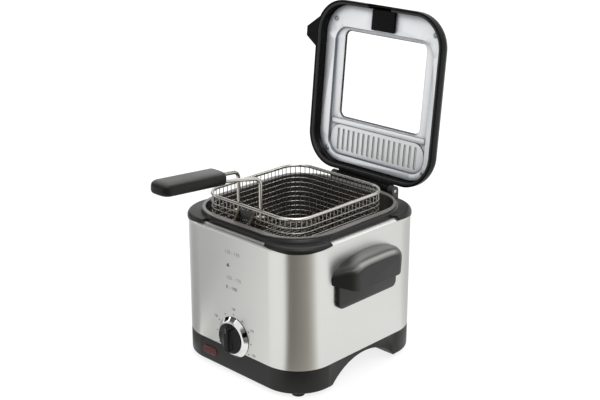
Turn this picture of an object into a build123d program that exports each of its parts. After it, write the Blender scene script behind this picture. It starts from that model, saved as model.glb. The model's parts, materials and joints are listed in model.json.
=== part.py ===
"""Compact square deep fryer: steel body on a moulded base, fixed pot, lifting wire basket,
hinged lid with a window, and a thermostat knob. Millimetres, +Z up, front towards -Y,
origin on the worktop at the middle of the four feet. The lid stands open."""
import os
from math import cos, radians, sin, sqrt

from build123d import *

os.makedirs("parts", exist_ok=True)

# Steel body and moulded base
body_w = 210.0
body_d = 220.0
corner_r = 48.0
sheet = 1.0
foot_h = 5.4
foot_d = 15.0
foot_reach = 35.0
base_top = 35.0
base_wall = 3.0
base_floor = 2.6
base_edge_r = 2.5
lip_h = 3.5
arch_hw = 55.4
arch_h = 25.6
arch_depth = 48.0
vent_floor_l = 70.0
vent_pitch = 14.0
vent_rows = 7
wall_top = 181.0
shoulder_r = 6.0
opening_inset = 9.0
fit = 0.25

# Collar and pot
collar_top = 187.5
collar_edge = 2.2
collar_slope = 2.0
neck_h = 9.0
pad_len = 53.0
pad_proud = 1.2
pad_bottom = 176.5
pad_top = 183.5
pad_round = 5.0
pad_flat = 10.0
pad_span = 40.0
pad_tip = 180.0
pot_inset = 15.0
pot_side = 17.5
pot_r = 42.0
pot_wall = 1.5
pot_floor = 70.0
pot_floor_r = 16.0
flange_w = 6.8
flange_r = 57.0

# Heater, shield and wiring parts under the pot
plate_margin = 25.0
plate_t = 4.0
plate_r = 30.0
tube_d = 6.6
tube_inset = 22.0
tail_gap = 34.0
tail_drop = 24.0
shield_z = 34.0
shield_margin = 26.0
shield_rim = 6.0
post_inset = 44.5
post_gap = 2.1
post_d = 10.0
screw_d = 3.6
screw_head_d = 7.0
screw_head_h = 1.8
screw_grip = 10.0
cutout_d = 15.0
cutout_h = 6.0
cutout_y = 18.0
block_l = 32.0
block_w = 18.0
block_h = 14.0
block_x = 10.0
block_inset = 28.0
gland_inset = 60.0
gland_z = 21.0
gland_d = 12.0
gland_flange_d = 17.0
gland_flange_t = 2.0
gland_bore = 7.0

# Thermostat and knob
knob_z = 51.8
knob_gap = 0.6
skirt_d = 49.6
skirt_face_d = 39.0
skirt_h = 5.0
skirt_t = 2.0
cap_d = 37.0
cap_h = 1.4
bar_w = 9.0
bar_l = 33.0
bar_h = 6.5
shaft_d = 6.0
bush_d = 10.0
run_fit = 0.05
stat_d = 26.0
stat_l = 17.0

# Pilot lamp
lamp_inset = 62.5
lamp_z = 20.0
lamp_w = 24.0
lamp_h = 11.0
lamp_flange = 2.0
lamp_proud = 1.0
holder_l = 13.0

# Side handles
plate_hw = 49.5
plate_low = 100.5
plate_thick = 5.0
plate_corner = 7.0
hood_out = 22.0
hood_low_hw = 57.0
hood_low = 132.0
wing_hw = 61.0
wing_z = 141.0
brow_hw = 56.0
brow_z = 151.0
crown_hw = 38.0
crown_z = 157.0
face_hw = 39.5
face_low = 124.0
face_top = 149.5
face_edge = 3.5
hood_edge_r = 5.0
hood_wall = 3.5
finger_hw = 40.0
finger_lean = 7.0
finger_h = 11.0
handle_screw_y = 30.0
handle_screw_z = 116.0
handle_screw_in = 4.0

# Lid, drawn in its own plane: depth is measured from the rim towards the outside
lid_lean = 5.5
lid_gap = 0.5
hinge_back = 4.6
rim_up = 1.85
lid_side_inset = 5.2
lid_rear = 6.8
lid_front_inset = 5.0
lid_r = 43.0
lid_t = 21.0
lid_wall = 2.5
lid_round = 16.0
lug_inset = 22.6
lug_l = 41.0
lug_reach = 18.0
lug_nose = 12.0
lug_t = 12.0
seal_w = 2.6
seal_h = 3.0
liner_inset = 6.6
liner_depth = 13.0
liner_t = 1.0
field_drop = 4.0
field_side = 20.3
field_rear = 13.7
field_front = 32.6
field_r = 21.0
window_side = 15.5
window_front = 6.5
window_r = 10.0
gasket_w = 2.4
glass_lap = 5.5
filter_side = 3.5
filter_rear = 2.0
filter_l = 38.0
filter_t = 1.2
filter_r = 17.0
rib_gap = 0.9
rib_l = 6.3
rib_h = 2.0
filter_border = 5.0
slot_w = 3.4
slot_pitch = 8.4
vent_l = 26.0
boss_d = 6.4
boss_side = 21.3
boss_rear = 20.2
boss_front = 25.6
gate_w = 35.0
gate_l = 25.0
gate_inset = 6.6
gate_t = 4.0
notch_hw = 18.5
notch_h = 8.5

# Lid hinge
knuckle_r = 5.4
knuckle_l = 86.0
ear_gap = 0.5
ear_w = 8.0
ear_r = 6.0
pin_d = 4.0
hinge_low = 162.0
web_l = 9.5
web_h = 7.0
hinge_screw_x = 30.0
hinge_screw_z = 170.0
hinge_screw_in = 8.0

# Wire basket and its handle
basket_gap_x = 12.5
basket_gap_y = 16.0
basket_r = 26.0
basket_h = 75.0
basket_y = -7.0
rim_z = 206.0
rim_d = 4.0
base_wire_d = 3.0
net_wire = 1.4
net_pitch = 12.5
corner_wires = 3
weld = 0.1
rod_d = 4.4
rod_hw = 18.0
rod_top = 243.0
rod_bend = 9.0
rod_low = 184.0
rod_tail = 34.0
rod_grip_hw = 6.5
socket_w = 9.0
socket_h = 14.0
hook_hw = 12.0
hook_w = 3.0
hook_t = 2.0
hook_h = 16.0
hook_top = 202.0
hook_clear = 0.6
hook_plate_h = 11.0
grip_gap = 43.0
grip_z = 252.5
grip_tilt = 4.2
grip_l = 88.0
grip_w = 30.0
grip_t = 16.0
grip_end_w = 29.0
grip_round = 5.0
grip_end_r = 4.0

front = -body_d / 2
back = body_d / 2
side = body_w / 2
flange_top = collar_top + pot_wall
hinge_y = back + hinge_back
hinge_z = flange_top + lid_gap - rim_up
pot_w = body_w - 2 * pot_side
pot_d = body_d - 2 * pot_inset
floor_top = foot_h + base_floor
post_x = side - post_inset
post_y = arch_hw + base_wall + post_d / 2 + post_gap
lamp_x = lamp_inset - side
gland_x = side - gland_inset


def body_outline(inset):
    """Rounded square that follows the body's plan, moved in by a given amount."""
    return RectangleRounded(body_w - 2 * inset, body_d - 2 * inset, corner_r - inset)


def pot_outline(grow, mode=Mode.ADD):
    """Plan of the pot's inside, moved out by a given amount."""
    return RectangleRounded(pot_w + 2 * grow, pot_d + 2 * grow, pot_r + grow, mode=mode)


def flange_outline(grow):
    """Plan of the pot's flange, rounder at its corners than the pot, moved out by a given amount."""
    reach = 2 * (flange_w + grow)
    return RectangleRounded(pot_w + reach, pot_d + reach, flange_r + grow)


# Base: moulded tray with a lifting arch let into each side
with BuildPart() as base_tray:
    with BuildSketch(Plane.XY.offset(foot_h)):
        body_outline(0)
    extrude(amount=base_top - foot_h)
    fillet(base_tray.faces().sort_by(Axis.Z)[0].edges(), base_edge_r)
    with BuildSketch(Plane.XY.offset(floor_top)):
        body_outline(base_wall)
    extrude(amount=base_top - floor_top, mode=Mode.SUBTRACT)
    with BuildSketch(Plane.XY.offset(base_top)):
        body_outline(sheet + fit)
        RectangleRounded(body_w - 2 * base_wall, body_d - 2 * base_wall, corner_r - base_wall,
                         mode=Mode.SUBTRACT)
    extrude(amount=lip_h)
    for hand in (1, -1):
        with BuildSketch(Plane.YZ.offset(hand * (side - base_wall / 2))):
            with BuildLine():
                ThreePointArc((-arch_hw - base_wall, foot_h), (0, foot_h + arch_h + base_wall),
                              (arch_hw + base_wall, foot_h))
                Line((arch_hw + base_wall, foot_h), (-arch_hw - base_wall, foot_h))
            make_face()
        extrude(amount=-hand * (arch_depth + base_wall / 2))
        with BuildSketch(Plane.YZ.offset(hand * (side + base_wall))):
            with BuildLine():
                ThreePointArc((-arch_hw, foot_h), (0, foot_h + arch_h), (arch_hw, foot_h))
                Line((arch_hw, foot_h), (-arch_hw, foot_h))
            make_face()
        extrude(amount=-hand * (arch_depth + base_wall), mode=Mode.SUBTRACT)
    with BuildSketch(Plane.XY.offset(foot_h)):
        with GridLocations(2 * post_x, 2 * post_y, 2, 2):
            Circle(screw_d / 2 + fit)
    extrude(amount=base_floor, mode=Mode.SUBTRACT)
    with BuildSketch(Plane.XY.offset(foot_h)):
        with GridLocations(0, vent_pitch, 1, vent_rows):
            SlotOverall(vent_floor_l, slot_w)
    extrude(amount=base_floor, mode=Mode.SUBTRACT)
    with BuildSketch(Plane.XZ.offset(-front)):
        with Locations((lamp_x, lamp_z)):
            SlotOverall(lamp_w + 2 * fit, lamp_h + 2 * fit)
    extrude(amount=-base_wall, mode=Mode.SUBTRACT)
    with BuildSketch(Plane.XZ.offset(-back)):
        with Locations((gland_x, gland_z)):
            Circle(gland_d / 2 + fit)
    extrude(amount=base_wall, mode=Mode.SUBTRACT)

with BuildPart() as rubber_feet:
    foot_x = side - corner_r + foot_reach * cos(radians(45))
    foot_y = back - corner_r + foot_reach * sin(radians(45))
    with BuildSketch(Plane.XY):
        with GridLocations(2 * foot_x, 2 * foot_y, 2, 2):
            Circle(foot_d / 2)
    extrude(amount=foot_h)

# Posts that stand on the base floor and carry the heat shield, screwed from below
with BuildPart() as shield_posts:
    with BuildSketch(Plane.XY.offset(floor_top)):
        with GridLocations(2 * post_x, 2 * post_y, 2, 2):
            Circle(post_d / 2)
    extrude(amount=shield_z - floor_top)
    with BuildSketch(Plane.XY.offset(floor_top)):
        with GridLocations(2 * post_x, 2 * post_y, 2, 2):
            Circle(screw_d / 2 + fit)
    extrude(amount=screw_grip + fit, mode=Mode.SUBTRACT)

with BuildPart() as base_screws:
    with BuildSketch(Plane.XY.offset(foot_h - screw_head_h)):
        with GridLocations(2 * post_x, 2 * post_y, 2, 2):
            Circle(screw_head_d / 2)
    extrude(amount=screw_head_h)
    with BuildSketch(Plane.XY.offset(foot_h)):
        with GridLocations(2 * post_x, 2 * post_y, 2, 2):
            Circle(screw_d / 2)
    extrude(amount=base_floor + screw_grip)

# Steel wall: one deep-drawn sleeve with a rounded shoulder at the top
with BuildPart() as steel_wall:
    with BuildSketch(Plane.XY.offset(base_top)):
        body_outline(0)
    extrude(amount=wall_top - base_top)
    fillet(steel_wall.faces().sort_by(Axis.Z)[-1].edges(), shoulder_r)
    offset(amount=-sheet, openings=steel_wall.faces().sort_by(Axis.Z)[0])
    with BuildSketch(Plane.XY.offset(wall_top)):
        body_outline(opening_inset)
    extrude(amount=-2 * sheet, mode=Mode.SUBTRACT)
    with BuildSketch(Plane.XZ.offset(-front)):
        with Locations((0, knob_z)):
            Circle(bush_d / 2 + fit)
    extrude(amount=-2 * sheet, mode=Mode.SUBTRACT)
    for hand in (1, -1):
        with BuildSketch(Plane.YZ.offset(hand * side)):
            with Locations((handle_screw_y, handle_screw_z), (-handle_screw_y, handle_screw_z)):
                Circle(screw_d / 2 + fit)
        extrude(amount=-hand * 2 * sheet, mode=Mode.SUBTRACT)
    with BuildSketch(Plane.XZ.offset(-back)):
        with Locations((hinge_screw_x, hinge_screw_z), (-hinge_screw_x, hinge_screw_z)):
            Circle(screw_d / 2 + fit)
    extrude(amount=2 * sheet, mode=Mode.SUBTRACT)

# Top collar: black ring round the pot, with a pad over each rounded corner of the wall
with BuildPart() as shoulder_form:
    with BuildSketch(Plane.XY.offset(base_top)):
        body_outline(-fit)
    extrude(amount=wall_top - base_top)
    fillet(shoulder_form.faces().sort_by(Axis.Z)[-1].edges(), shoulder_r)

with BuildPart() as ring_form:
    with BuildSketch(Plane.XY.offset(wall_top)):
        flange_outline(collar_edge)
    extrude(amount=collar_top - wall_top)
    chamfer(ring_form.faces().sort_by(Axis.Z)[-1].edges(), collar_slope)

with BuildPart() as top_collar:
    with BuildSketch(Plane.XY.offset(pad_bottom)):
        body_outline(-pad_proud)
    extrude(amount=pad_top - pad_bottom)
    fillet(top_collar.faces().sort_by(Axis.Z)[-1].edges(), pad_round)
    with BuildSketch(Plane.XY.offset(pad_bottom)):
        Rectangle(body_w - 2 * pad_len, 2 * body_d)
        Rectangle(2 * body_w, body_d - 2 * pad_len)
    extrude(amount=pad_top - pad_bottom, mode=Mode.SUBTRACT)
    for hand_x, hand_y in ((1, 1), (-1, 1), (-1, -1), (1, -1)):
        with BuildSketch(Plane(origin=(hand_x * (side - corner_r), hand_y * (back - corner_r), 0),
                               x_dir=(-hand_y, hand_x, 0), z_dir=(hand_x, hand_y, 0))):
            for end in (1, -1):
                Polygon((end * pad_flat, pad_bottom - fit), (end * pad_span, pad_bottom - fit),
                        (end * pad_span, pad_tip), align=None)
        extrude(amount=2 * corner_r, mode=Mode.SUBTRACT)
    add(shoulder_form.part, mode=Mode.SUBTRACT)
    add(ring_form.part)
    with BuildSketch(Plane.XY.offset(wall_top)):
        body_outline(opening_inset + fit)
    extrude(amount=-neck_h)
    with BuildSketch(Plane.XY.offset(collar_top)):
        pot_outline(pot_wall + fit)
    extrude(amount=-2 * neck_h, mode=Mode.SUBTRACT)

# Pot: coated aluminium tub whose flange lies on the collar
with BuildPart() as inner_pot:
    with BuildSketch(Plane.XY.offset(pot_floor - pot_wall)):
        pot_outline(pot_wall)
    extrude(amount=flange_top - pot_floor + pot_wall)
    fillet(inner_pot.faces().sort_by(Axis.Z)[0].edges(), pot_floor_r + pot_wall)
    offset(amount=-pot_wall, openings=inner_pot.faces().sort_by(Axis.Z)[-1])
    with BuildSketch(Plane.XY.offset(collar_top)):
        flange_outline(0)
        pot_outline(0, mode=Mode.SUBTRACT)
    extrude(amount=pot_wall)

# Heater plate under the pot, with a bent tubular element clamped to it
plate_w = pot_w - 2 * plate_margin
plate_d = pot_d - 2 * plate_margin
with BuildPart() as heater_plate:
    with BuildSketch(Plane.XY.offset(pot_floor - pot_wall)):
        RectangleRounded(plate_w, plate_d, plate_r)
    extrude(amount=-plate_t)

tube_z = pot_floor - pot_wall - plate_t - tube_d / 2
with BuildPart() as heating_element:
    tube_x = plate_w / 2 - tube_inset
    tube_y = plate_d / 2 - tube_inset
    with BuildLine() as element_path:
        FilletPolyline(
            (-tail_gap / 2, tube_y, tube_z - tail_drop),
            (-tail_gap / 2, tube_y, tube_z),
            (-tube_x, tube_y, tube_z),
            (-tube_x, -tube_y, tube_z),
            (tube_x, -tube_y, tube_z),
            (tube_x, tube_y, tube_z),
            (tail_gap / 2, tube_y, tube_z),
            (tail_gap / 2, tube_y, tube_z - tail_drop),
            radius=tube_d,
        )
    with BuildSketch(Plane(origin=element_path.line @ 0, z_dir=element_path.line % 0)):
        Circle(tube_d / 2)
    sweep()

with BuildPart() as thermal_cutout:
    with BuildSketch(Plane.XY.offset(pot_floor - pot_wall - plate_t)):
        with Locations((0, -cutout_y)):
            Circle(cutout_d / 2)
    extrude(amount=-cutout_h)

# Heat shield: shallow pressed pan on the posts, with a slot for the element's tails
with BuildPart() as heat_shield:
    with BuildSketch(Plane.XY.offset(shield_z)):
        RectangleRounded(body_w - 2 * shield_margin, body_d - 2 * shield_margin, plate_r)
    extrude(amount=shield_rim)
    offset(amount=-sheet, openings=heat_shield.faces().sort_by(Axis.Z)[-1])
    with BuildSketch(Plane.XY.offset(shield_z)):
        with Locations((0, tube_y)):
            SlotOverall(tail_gap + 3 * tube_d, 2 * tube_d)
    extrude(amount=shield_rim, mode=Mode.SUBTRACT)

with BuildPart() as terminal_block:
    with BuildSketch(Plane.XY.offset(floor_top)):
        with Locations((block_x, back - block_inset)):
            RectangleRounded(block_l, block_w, tube_d / 3)
    extrude(amount=block_h)

# Inlet bush for the lead in the back of the base
with BuildPart() as cord_gland:
    with BuildSketch(Plane.XZ.offset(-back)):
        with Locations((gland_x, gland_z)):
            Circle(gland_flange_d / 2)
    extrude(amount=-gland_flange_t)
    with BuildSketch(Plane.XZ.offset(-back)):
        with Locations((gland_x, gland_z)):
            Circle(gland_d / 2)
    extrude(amount=base_wall + gland_flange_t)
    with BuildSketch(Plane.XZ.offset(-back - gland_flange_t)):
        with Locations((gland_x, gland_z)):
            Circle(gland_bore / 2)
    extrude(amount=base_wall + 2 * gland_flange_t, mode=Mode.SUBTRACT)

# Thermostat behind the wall; its bush passes through the steel
with BuildPart() as thermostat:
    with BuildSketch(Plane.XZ.offset(-front - sheet)):
        with Locations((0, knob_z)):
            Circle(stat_d / 2)
    extrude(amount=-stat_l)
    with BuildSketch(Plane.XZ.offset(-front - sheet)):
        with Locations((0, knob_z)):
            Circle(bush_d / 2)
    extrude(amount=sheet)
    with BuildSketch(Plane.XZ.offset(-front)):
        with Locations((0, knob_z)):
            Circle(shaft_d / 2 + run_fit)
    extrude(amount=-stat_l, mode=Mode.SUBTRACT)

skirt_back = -front + knob_gap
with BuildPart() as knob_shaft:
    with BuildSketch(Plane.XZ.offset(skirt_back + skirt_h)):
        with Locations((0, knob_z)):
            Circle(shaft_d / 2)
    extrude(amount=-skirt_h - knob_gap - stat_l + sheet)

with BuildPart() as knob_skirt:
    with BuildSketch(Plane.XZ.offset(skirt_back)):
        with Locations((0, knob_z)):
            Circle(skirt_d / 2)
    with BuildSketch(Plane.XZ.offset(skirt_back + skirt_h)):
        with Locations((0, knob_z)):
            Circle(skirt_face_d / 2)
    loft()
    with BuildSketch(Plane.XZ.offset(skirt_back)):
        with Locations((0, knob_z)):
            Circle(cap_d / 2 - skirt_t)
    extrude(amount=skirt_h, mode=Mode.SUBTRACT)

with BuildPart() as knob_cap:
    with BuildSketch(Plane.XZ.offset(skirt_back + skirt_h)):
        with Locations((0, knob_z)):
            Circle(cap_d / 2)
    extrude(amount=cap_h)
    with BuildSketch(Plane.XZ.offset(skirt_back + skirt_h)):
        with Locations((0, knob_z)):
            Circle(cap_d / 2 - skirt_t - fit)
    extrude(amount=-skirt_h + knob_gap)
    with BuildSketch(Plane.XZ.offset(skirt_back + skirt_h + cap_h)):
        with Locations((0, knob_z)):
            SlotOverall(bar_l, bar_w, rotation=90)
    extrude(amount=bar_h, taper=8)
    fillet(knob_cap.faces().sort_by(Axis.Y)[0].edges(), cap_h)
    with BuildSketch(Plane.XZ.offset(skirt_back)):
        with Locations((0, knob_z)):
            Circle(shaft_d / 2)
    extrude(amount=skirt_h, mode=Mode.SUBTRACT)

# Pilot lamp: red lens clipped into the base, with its holder behind
with BuildPart() as pilot_lens:
    with BuildSketch(Plane.XZ.offset(-front - base_wall)):
        with Locations((lamp_x, lamp_z)):
            SlotOverall(lamp_w, lamp_h)
    extrude(amount=base_wall + lamp_proud)
    fillet(pilot_lens.faces().sort_by(Axis.Y)[0].edges(), lamp_proud)
    with BuildSketch(Plane.XZ.offset(-front - base_wall)):
        with Locations((lamp_x, lamp_z)):
            SlotOverall(lamp_w + 2 * lamp_flange, lamp_h + 2 * lamp_flange)
    extrude(amount=-sheet)

with BuildPart() as lamp_holder:
    with BuildSketch(Plane.XZ.offset(-front - base_wall - sheet)):
        with Locations((lamp_x, (floor_top + lamp_z + lamp_h / 2) / 2)):
            Rectangle(lamp_w, lamp_z + lamp_h / 2 - floor_top)
    extrude(amount=-holder_l)

# Side handles: a plate on the wall with a flared hood that fingers reach up into
hood_at_wall = ((hood_low_hw, hood_low), (wing_hw, wing_z), (brow_hw, brow_z), (crown_hw, crown_z))
hood_at_face = ((face_hw - face_edge / 2, face_low), (face_hw, wing_z - 2 * face_edge),
                (face_hw, face_top - 2 * face_edge), (face_hw - face_edge, face_top))


def hood_section(out, shrink, radius):
    """Eight-sided section of the handle's hood, a given distance out from the wall."""
    share = out / hood_out
    middle = (face_low + face_top) / 2
    right = [((1 - share) * wall_y + share * face_y, (1 - share) * wall_z + share * face_z)
             for (wall_y, wall_z), (face_y, face_z) in zip(hood_at_wall, hood_at_face)]
    right = [(y - shrink, z - shrink if z > middle else z + shrink) for y, z in right]
    with BuildSketch(Plane.YZ.offset(side + out)) as section:
        Polygon(*right, *[(-y, z) for y, z in reversed(right)], align=None)
        fillet(section.vertices(), radius)
    return section.sketch.face()


with BuildPart() as hood_form:
    loft([
        hood_section(0, 0, hood_edge_r),
        hood_section(hood_out - face_edge, 0, face_edge),
        hood_section(hood_out, face_edge / 2, face_edge / 2),
    ], ruled=True)

with BuildPart() as right_handle:
    with BuildSketch(Plane.YZ.offset(side)):
        with Locations((0, (plate_low + wing_z) / 2)):
            RectangleRounded(2 * plate_hw, wing_z - plate_low, plate_corner)
    extrude(amount=plate_thick)
    add(hood_form.part)
    with BuildSketch(Plane.XY.offset(plate_low)):
        Polygon((side + plate_thick, -finger_hw), (side + hood_out - hood_wall, finger_lean - finger_hw),
                (side + hood_out - hood_wall, finger_hw - finger_lean), (side + plate_thick, finger_hw),
                align=None)
    extrude(amount=hood_low + finger_h - plate_low, mode=Mode.SUBTRACT)
    with BuildSketch(Plane.YZ.offset(side)):
        with Locations((handle_screw_y, handle_screw_z), (-handle_screw_y, handle_screw_z)):
            Circle(screw_d / 2)
    extrude(amount=handle_screw_in, mode=Mode.SUBTRACT)

with BuildPart() as left_handle:
    mirror(right_handle.part, about=Plane.YZ)

with BuildPart() as handle_screws:
    for hand in (1, -1):
        with BuildSketch(Plane.YZ.offset(hand * (side - sheet))):
            with Locations((handle_screw_y, handle_screw_z), (-handle_screw_y, handle_screw_z)):
                Circle(screw_d / 2)
        extrude(amount=hand * (sheet + handle_screw_in))
        with BuildSketch(Plane.YZ.offset(hand * (side - sheet))):
            with Locations((handle_screw_y, handle_screw_z), (-handle_screw_y, handle_screw_z)):
                Circle(screw_head_d / 2)
        extrude(amount=-hand * screw_head_h)

# Hinge block on the back wall with two ears, and the pin they hold
knuckle_hw = knuckle_l / 2
ear_in = knuckle_hw + ear_gap
ear_out = ear_in + ear_w
with BuildPart() as hinge_block:
    with BuildSketch(Plane.YZ.offset(-ear_out)):
        with Locations(((back + hinge_y + ear_r) / 2, (hinge_low + hinge_z) / 2)):
            Rectangle(hinge_y + ear_r - back, hinge_z - hinge_low)
        with Locations((hinge_y, hinge_z)):
            Circle(ear_r)
    extrude(amount=2 * ear_out)
    with BuildSketch(Plane.YZ.offset(-ear_in)):
        with Locations((hinge_y, hinge_z - knuckle_r - ear_gap + 2 * ear_r)):
            Rectangle(4 * ear_r, 4 * ear_r)
    extrude(amount=2 * ear_in, mode=Mode.SUBTRACT)
    with BuildSketch(Plane.XZ.offset(-back)):
        with Locations((hinge_screw_x, hinge_screw_z), (-hinge_screw_x, hinge_screw_z)):
            Circle(screw_d / 2)
    extrude(amount=-hinge_screw_in, mode=Mode.SUBTRACT)
    with BuildSketch(Plane.YZ.offset(-ear_out)):
        with Locations((hinge_y, hinge_z)):
            Circle(pin_d / 2)
    extrude(amount=2 * ear_out, mode=Mode.SUBTRACT)

with BuildPart() as hinge_screws:
    with BuildSketch(Plane.XZ.offset(-back + sheet)):
        with Locations((hinge_screw_x, hinge_screw_z), (-hinge_screw_x, hinge_screw_z)):
            Circle(screw_d / 2)
    extrude(amount=-sheet - hinge_screw_in)
    with BuildSketch(Plane.XZ.offset(-back + sheet)):
        with Locations((hinge_screw_x, hinge_screw_z), (-hinge_screw_x, hinge_screw_z)):
            Circle(screw_head_d / 2)
    extrude(amount=screw_head_h)

with BuildPart() as hinge_pin:
    with BuildSketch(Plane.YZ.offset(-ear_out)):
        with Locations((hinge_y, hinge_z)):
            Circle(pin_d / 2)
    extrude(amount=2 * ear_out)

# Lid: every sketch below lies in the lid's plane, so it opens and closes as one
lean = radians(lid_lean)
lid_plane = Plane(origin=(0, hinge_y, hinge_z), x_dir=(1, 0, 0), z_dir=(0, cos(lean), -sin(lean)))
lid_out = Axis((0, hinge_y, hinge_z), (0, cos(lean), -sin(lean)))
lid_w = body_w - 2 * lid_side_inset
lid_front = hinge_y - front - lid_front_inset
field_depth = liner_depth + field_drop
field_hw = lid_w / 2 - field_side
field_low = lid_rear + field_rear
field_high = lid_front - field_front
filter_hw = field_hw - filter_side
filter_low = field_low + filter_rear
filter_high = filter_low + filter_l
window_hw = field_hw - window_side
window_low = filter_high + 2 * rib_gap + rib_l + gasket_w
window_high = field_high - window_front
boss_x = lid_w / 2 - boss_side
boss_low = lid_rear + boss_rear
boss_high = lid_front - boss_front
lug_high = lid_front - lug_inset
lug_low = lug_high - lug_l
gate_mid = lid_front - gate_inset - gate_l / 2


def at_depth(depth):
    """Plane parallel to the lid's rim, a given depth from the rim towards the outside."""
    return lid_plane.offset(rim_up + depth)


def lid_field(half_width, low, high, radius, mode=Mode.ADD):
    """Rounded rectangle on the lid, from one distance to another along it from the hinge."""
    with Locations((0, -(low + high) / 2)):
        RectangleRounded(2 * half_width, high - low, radius, mode=mode)


with BuildPart() as lid_shell:
    with BuildSketch(at_depth(0)):
        lid_field(lid_w / 2, lid_rear, lid_front, lid_r)
    extrude(amount=lid_t)
    fillet(lid_shell.faces().sort_by(lid_out)[-1].edges(), lid_round)
    offset(amount=-lid_wall, openings=lid_shell.faces().sort_by(lid_out)[0])
    with BuildSketch(at_depth(liner_depth + liner_t)):
        with Locations((boss_x, -boss_low), (-boss_x, -boss_low), (boss_x, -boss_high),
                       (-boss_x, -boss_high)):
            Circle(boss_d / 2)
    extrude(amount=lid_t - lid_wall / 2 - liner_depth - liner_t)
    with BuildSketch(at_depth(liner_depth)):
        lid_field(window_hw + glass_lap + fit, window_low - glass_lap - fit,
                  window_high + glass_lap + fit, window_r)
    extrude(amount=lid_t, mode=Mode.SUBTRACT)
    with BuildSketch(at_depth(liner_depth)):
        with Locations((0, -(filter_low + filter_high) / 2)):
            with GridLocations(2 * slot_pitch, 0, vent_rows, 1):
                SlotOverall(vent_l, slot_w, rotation=90)
    extrude(amount=lid_t, mode=Mode.SUBTRACT)
    lug_wall = lid_w / 2 - lid_wall / 2
    lug_turn = lid_front - lid_r
    lug_end = lid_w / 2 - lid_r + sqrt((lid_r - lid_wall / 2) ** 2 - (lug_high - lug_turn) ** 2)
    with BuildSketch(at_depth(0)):
        Polygon((-lug_wall, -lug_low), (-lug_wall - lug_reach, -lug_low - lug_nose),
                (-lug_wall - lug_reach, -lug_low - 2 * lug_nose), (-lug_end, -lug_high),
                (-lug_wall, -lug_turn), align=None)
    extrude(amount=lug_t)
    with BuildSketch(at_depth(0)):
        with Locations((0, -lid_front)):
            Rectangle(2 * notch_hw, 2 * lid_round)
    extrude(amount=notch_h, mode=Mode.SUBTRACT)
    with BuildSketch(Plane.YZ.offset(-knuckle_hw)):
        with Locations((hinge_y, hinge_z)):
            Circle(knuckle_r)
    extrude(amount=knuckle_l)
    with BuildSketch(lid_plane):
        with Locations((0, -web_l / 2)):
            Rectangle(knuckle_l, web_l)
    extrude(amount=web_h)
    with BuildSketch(Plane.YZ.offset(-knuckle_hw)):
        with Locations((hinge_y, hinge_z)):
            Circle(pin_d / 2 + run_fit)
    extrude(amount=knuckle_l, mode=Mode.SUBTRACT)

# Liner: pressed silver panel with a sunk field for the window and the filter, and a rib between
with BuildPart() as lid_liner:
    with BuildSketch(at_depth(liner_depth)):
        lid_field(lid_w / 2 - liner_inset, lid_rear + liner_inset, lid_front - liner_inset,
                  lid_r - liner_inset)
    extrude(amount=liner_t)
    with BuildSketch(at_depth(liner_depth)):
        lid_field(field_hw, field_low, field_high, field_r)
    extrude(amount=field_drop + liner_t)
    with BuildSketch(at_depth(liner_depth)):
        lid_field(field_hw - liner_t, field_low + liner_t, field_high - liner_t, field_r - liner_t)
    extrude(amount=field_drop, mode=Mode.SUBTRACT)
    with BuildSketch(at_depth(field_depth)):
        lid_field(filter_hw, filter_high + rib_gap, filter_high + rib_gap + rib_l, rib_h)
    extrude(amount=-rib_h)
    with BuildSketch(at_depth(liner_depth)):
        lid_field(window_hw + gasket_w, window_low - gasket_w, window_high + gasket_w, window_r)
        lid_field(filter_hw - filter_border, filter_low + filter_border, filter_high - filter_border,
                  filter_r - filter_border)
        with Locations((boss_x, -boss_low), (-boss_x, -boss_low), (boss_x, -boss_high),
                       (-boss_x, -boss_high)):
            Circle(screw_d / 2)
    extrude(amount=field_drop + liner_t, mode=Mode.SUBTRACT)

with BuildPart() as liner_screws:
    with BuildSketch(at_depth(liner_depth)):
        with Locations((boss_x, -boss_low), (-boss_x, -boss_low), (boss_x, -boss_high),
                       (-boss_x, -boss_high)):
            Circle(screw_head_d / 2)
    extrude(amount=-screw_head_h)
    fillet(liner_screws.faces().sort_by(lid_out)[0:4].edges(), screw_head_h / 2)
    with BuildSketch(at_depth(liner_depth)):
        with Locations((boss_x, -boss_low), (-boss_x, -boss_low), (boss_x, -boss_high),
                       (-boss_x, -boss_high)):
            Circle(screw_d / 2)
    extrude(amount=liner_t)

with BuildPart() as window_glass:
    with BuildSketch(at_depth(field_depth + liner_t)):
        lid_field(window_hw + glass_lap, window_low - glass_lap, window_high + glass_lap, window_r)
    extrude(amount=lid_t - field_depth - liner_t)

with BuildPart() as window_gasket:
    with BuildSketch(at_depth(field_depth + liner_t)):
        lid_field(window_hw + gasket_w, window_low - gasket_w, window_high + gasket_w, window_r)
        lid_field(window_hw, window_low, window_high, window_r - gasket_w, mode=Mode.SUBTRACT)
    extrude(amount=-liner_t)

with BuildPart() as lid_seal:
    with BuildSketch(at_depth(seal_h)):
        lid_field(lid_w / 2 - lid_wall - fit, lid_rear + lid_wall + fit, lid_front - lid_wall - fit,
                  lid_r - lid_wall - fit)
        lid_field(lid_w / 2 - lid_wall - seal_w, lid_rear + lid_wall + seal_w,
                  lid_front - lid_wall - seal_w, lid_r - lid_wall - seal_w, mode=Mode.SUBTRACT)
        with Locations((0, -lid_front)):
            Rectangle(2 * notch_hw, 2 * lid_round, mode=Mode.SUBTRACT)
    extrude(amount=-seal_h + fit)

with BuildPart() as filter_cover:
    with BuildSketch(at_depth(field_depth)):
        lid_field(filter_hw, filter_low, filter_high, filter_r)
        with Locations((0, -(filter_low + filter_high) / 2)):
            with GridLocations(slot_pitch, 0, int(2 * (filter_hw - filter_r) / slot_pitch) + 2, 1):
                SlotOverall(filter_high - filter_low - 2 * filter_border, slot_w, rotation=90,
                            mode=Mode.SUBTRACT)
    extrude(amount=-filter_t)

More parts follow.
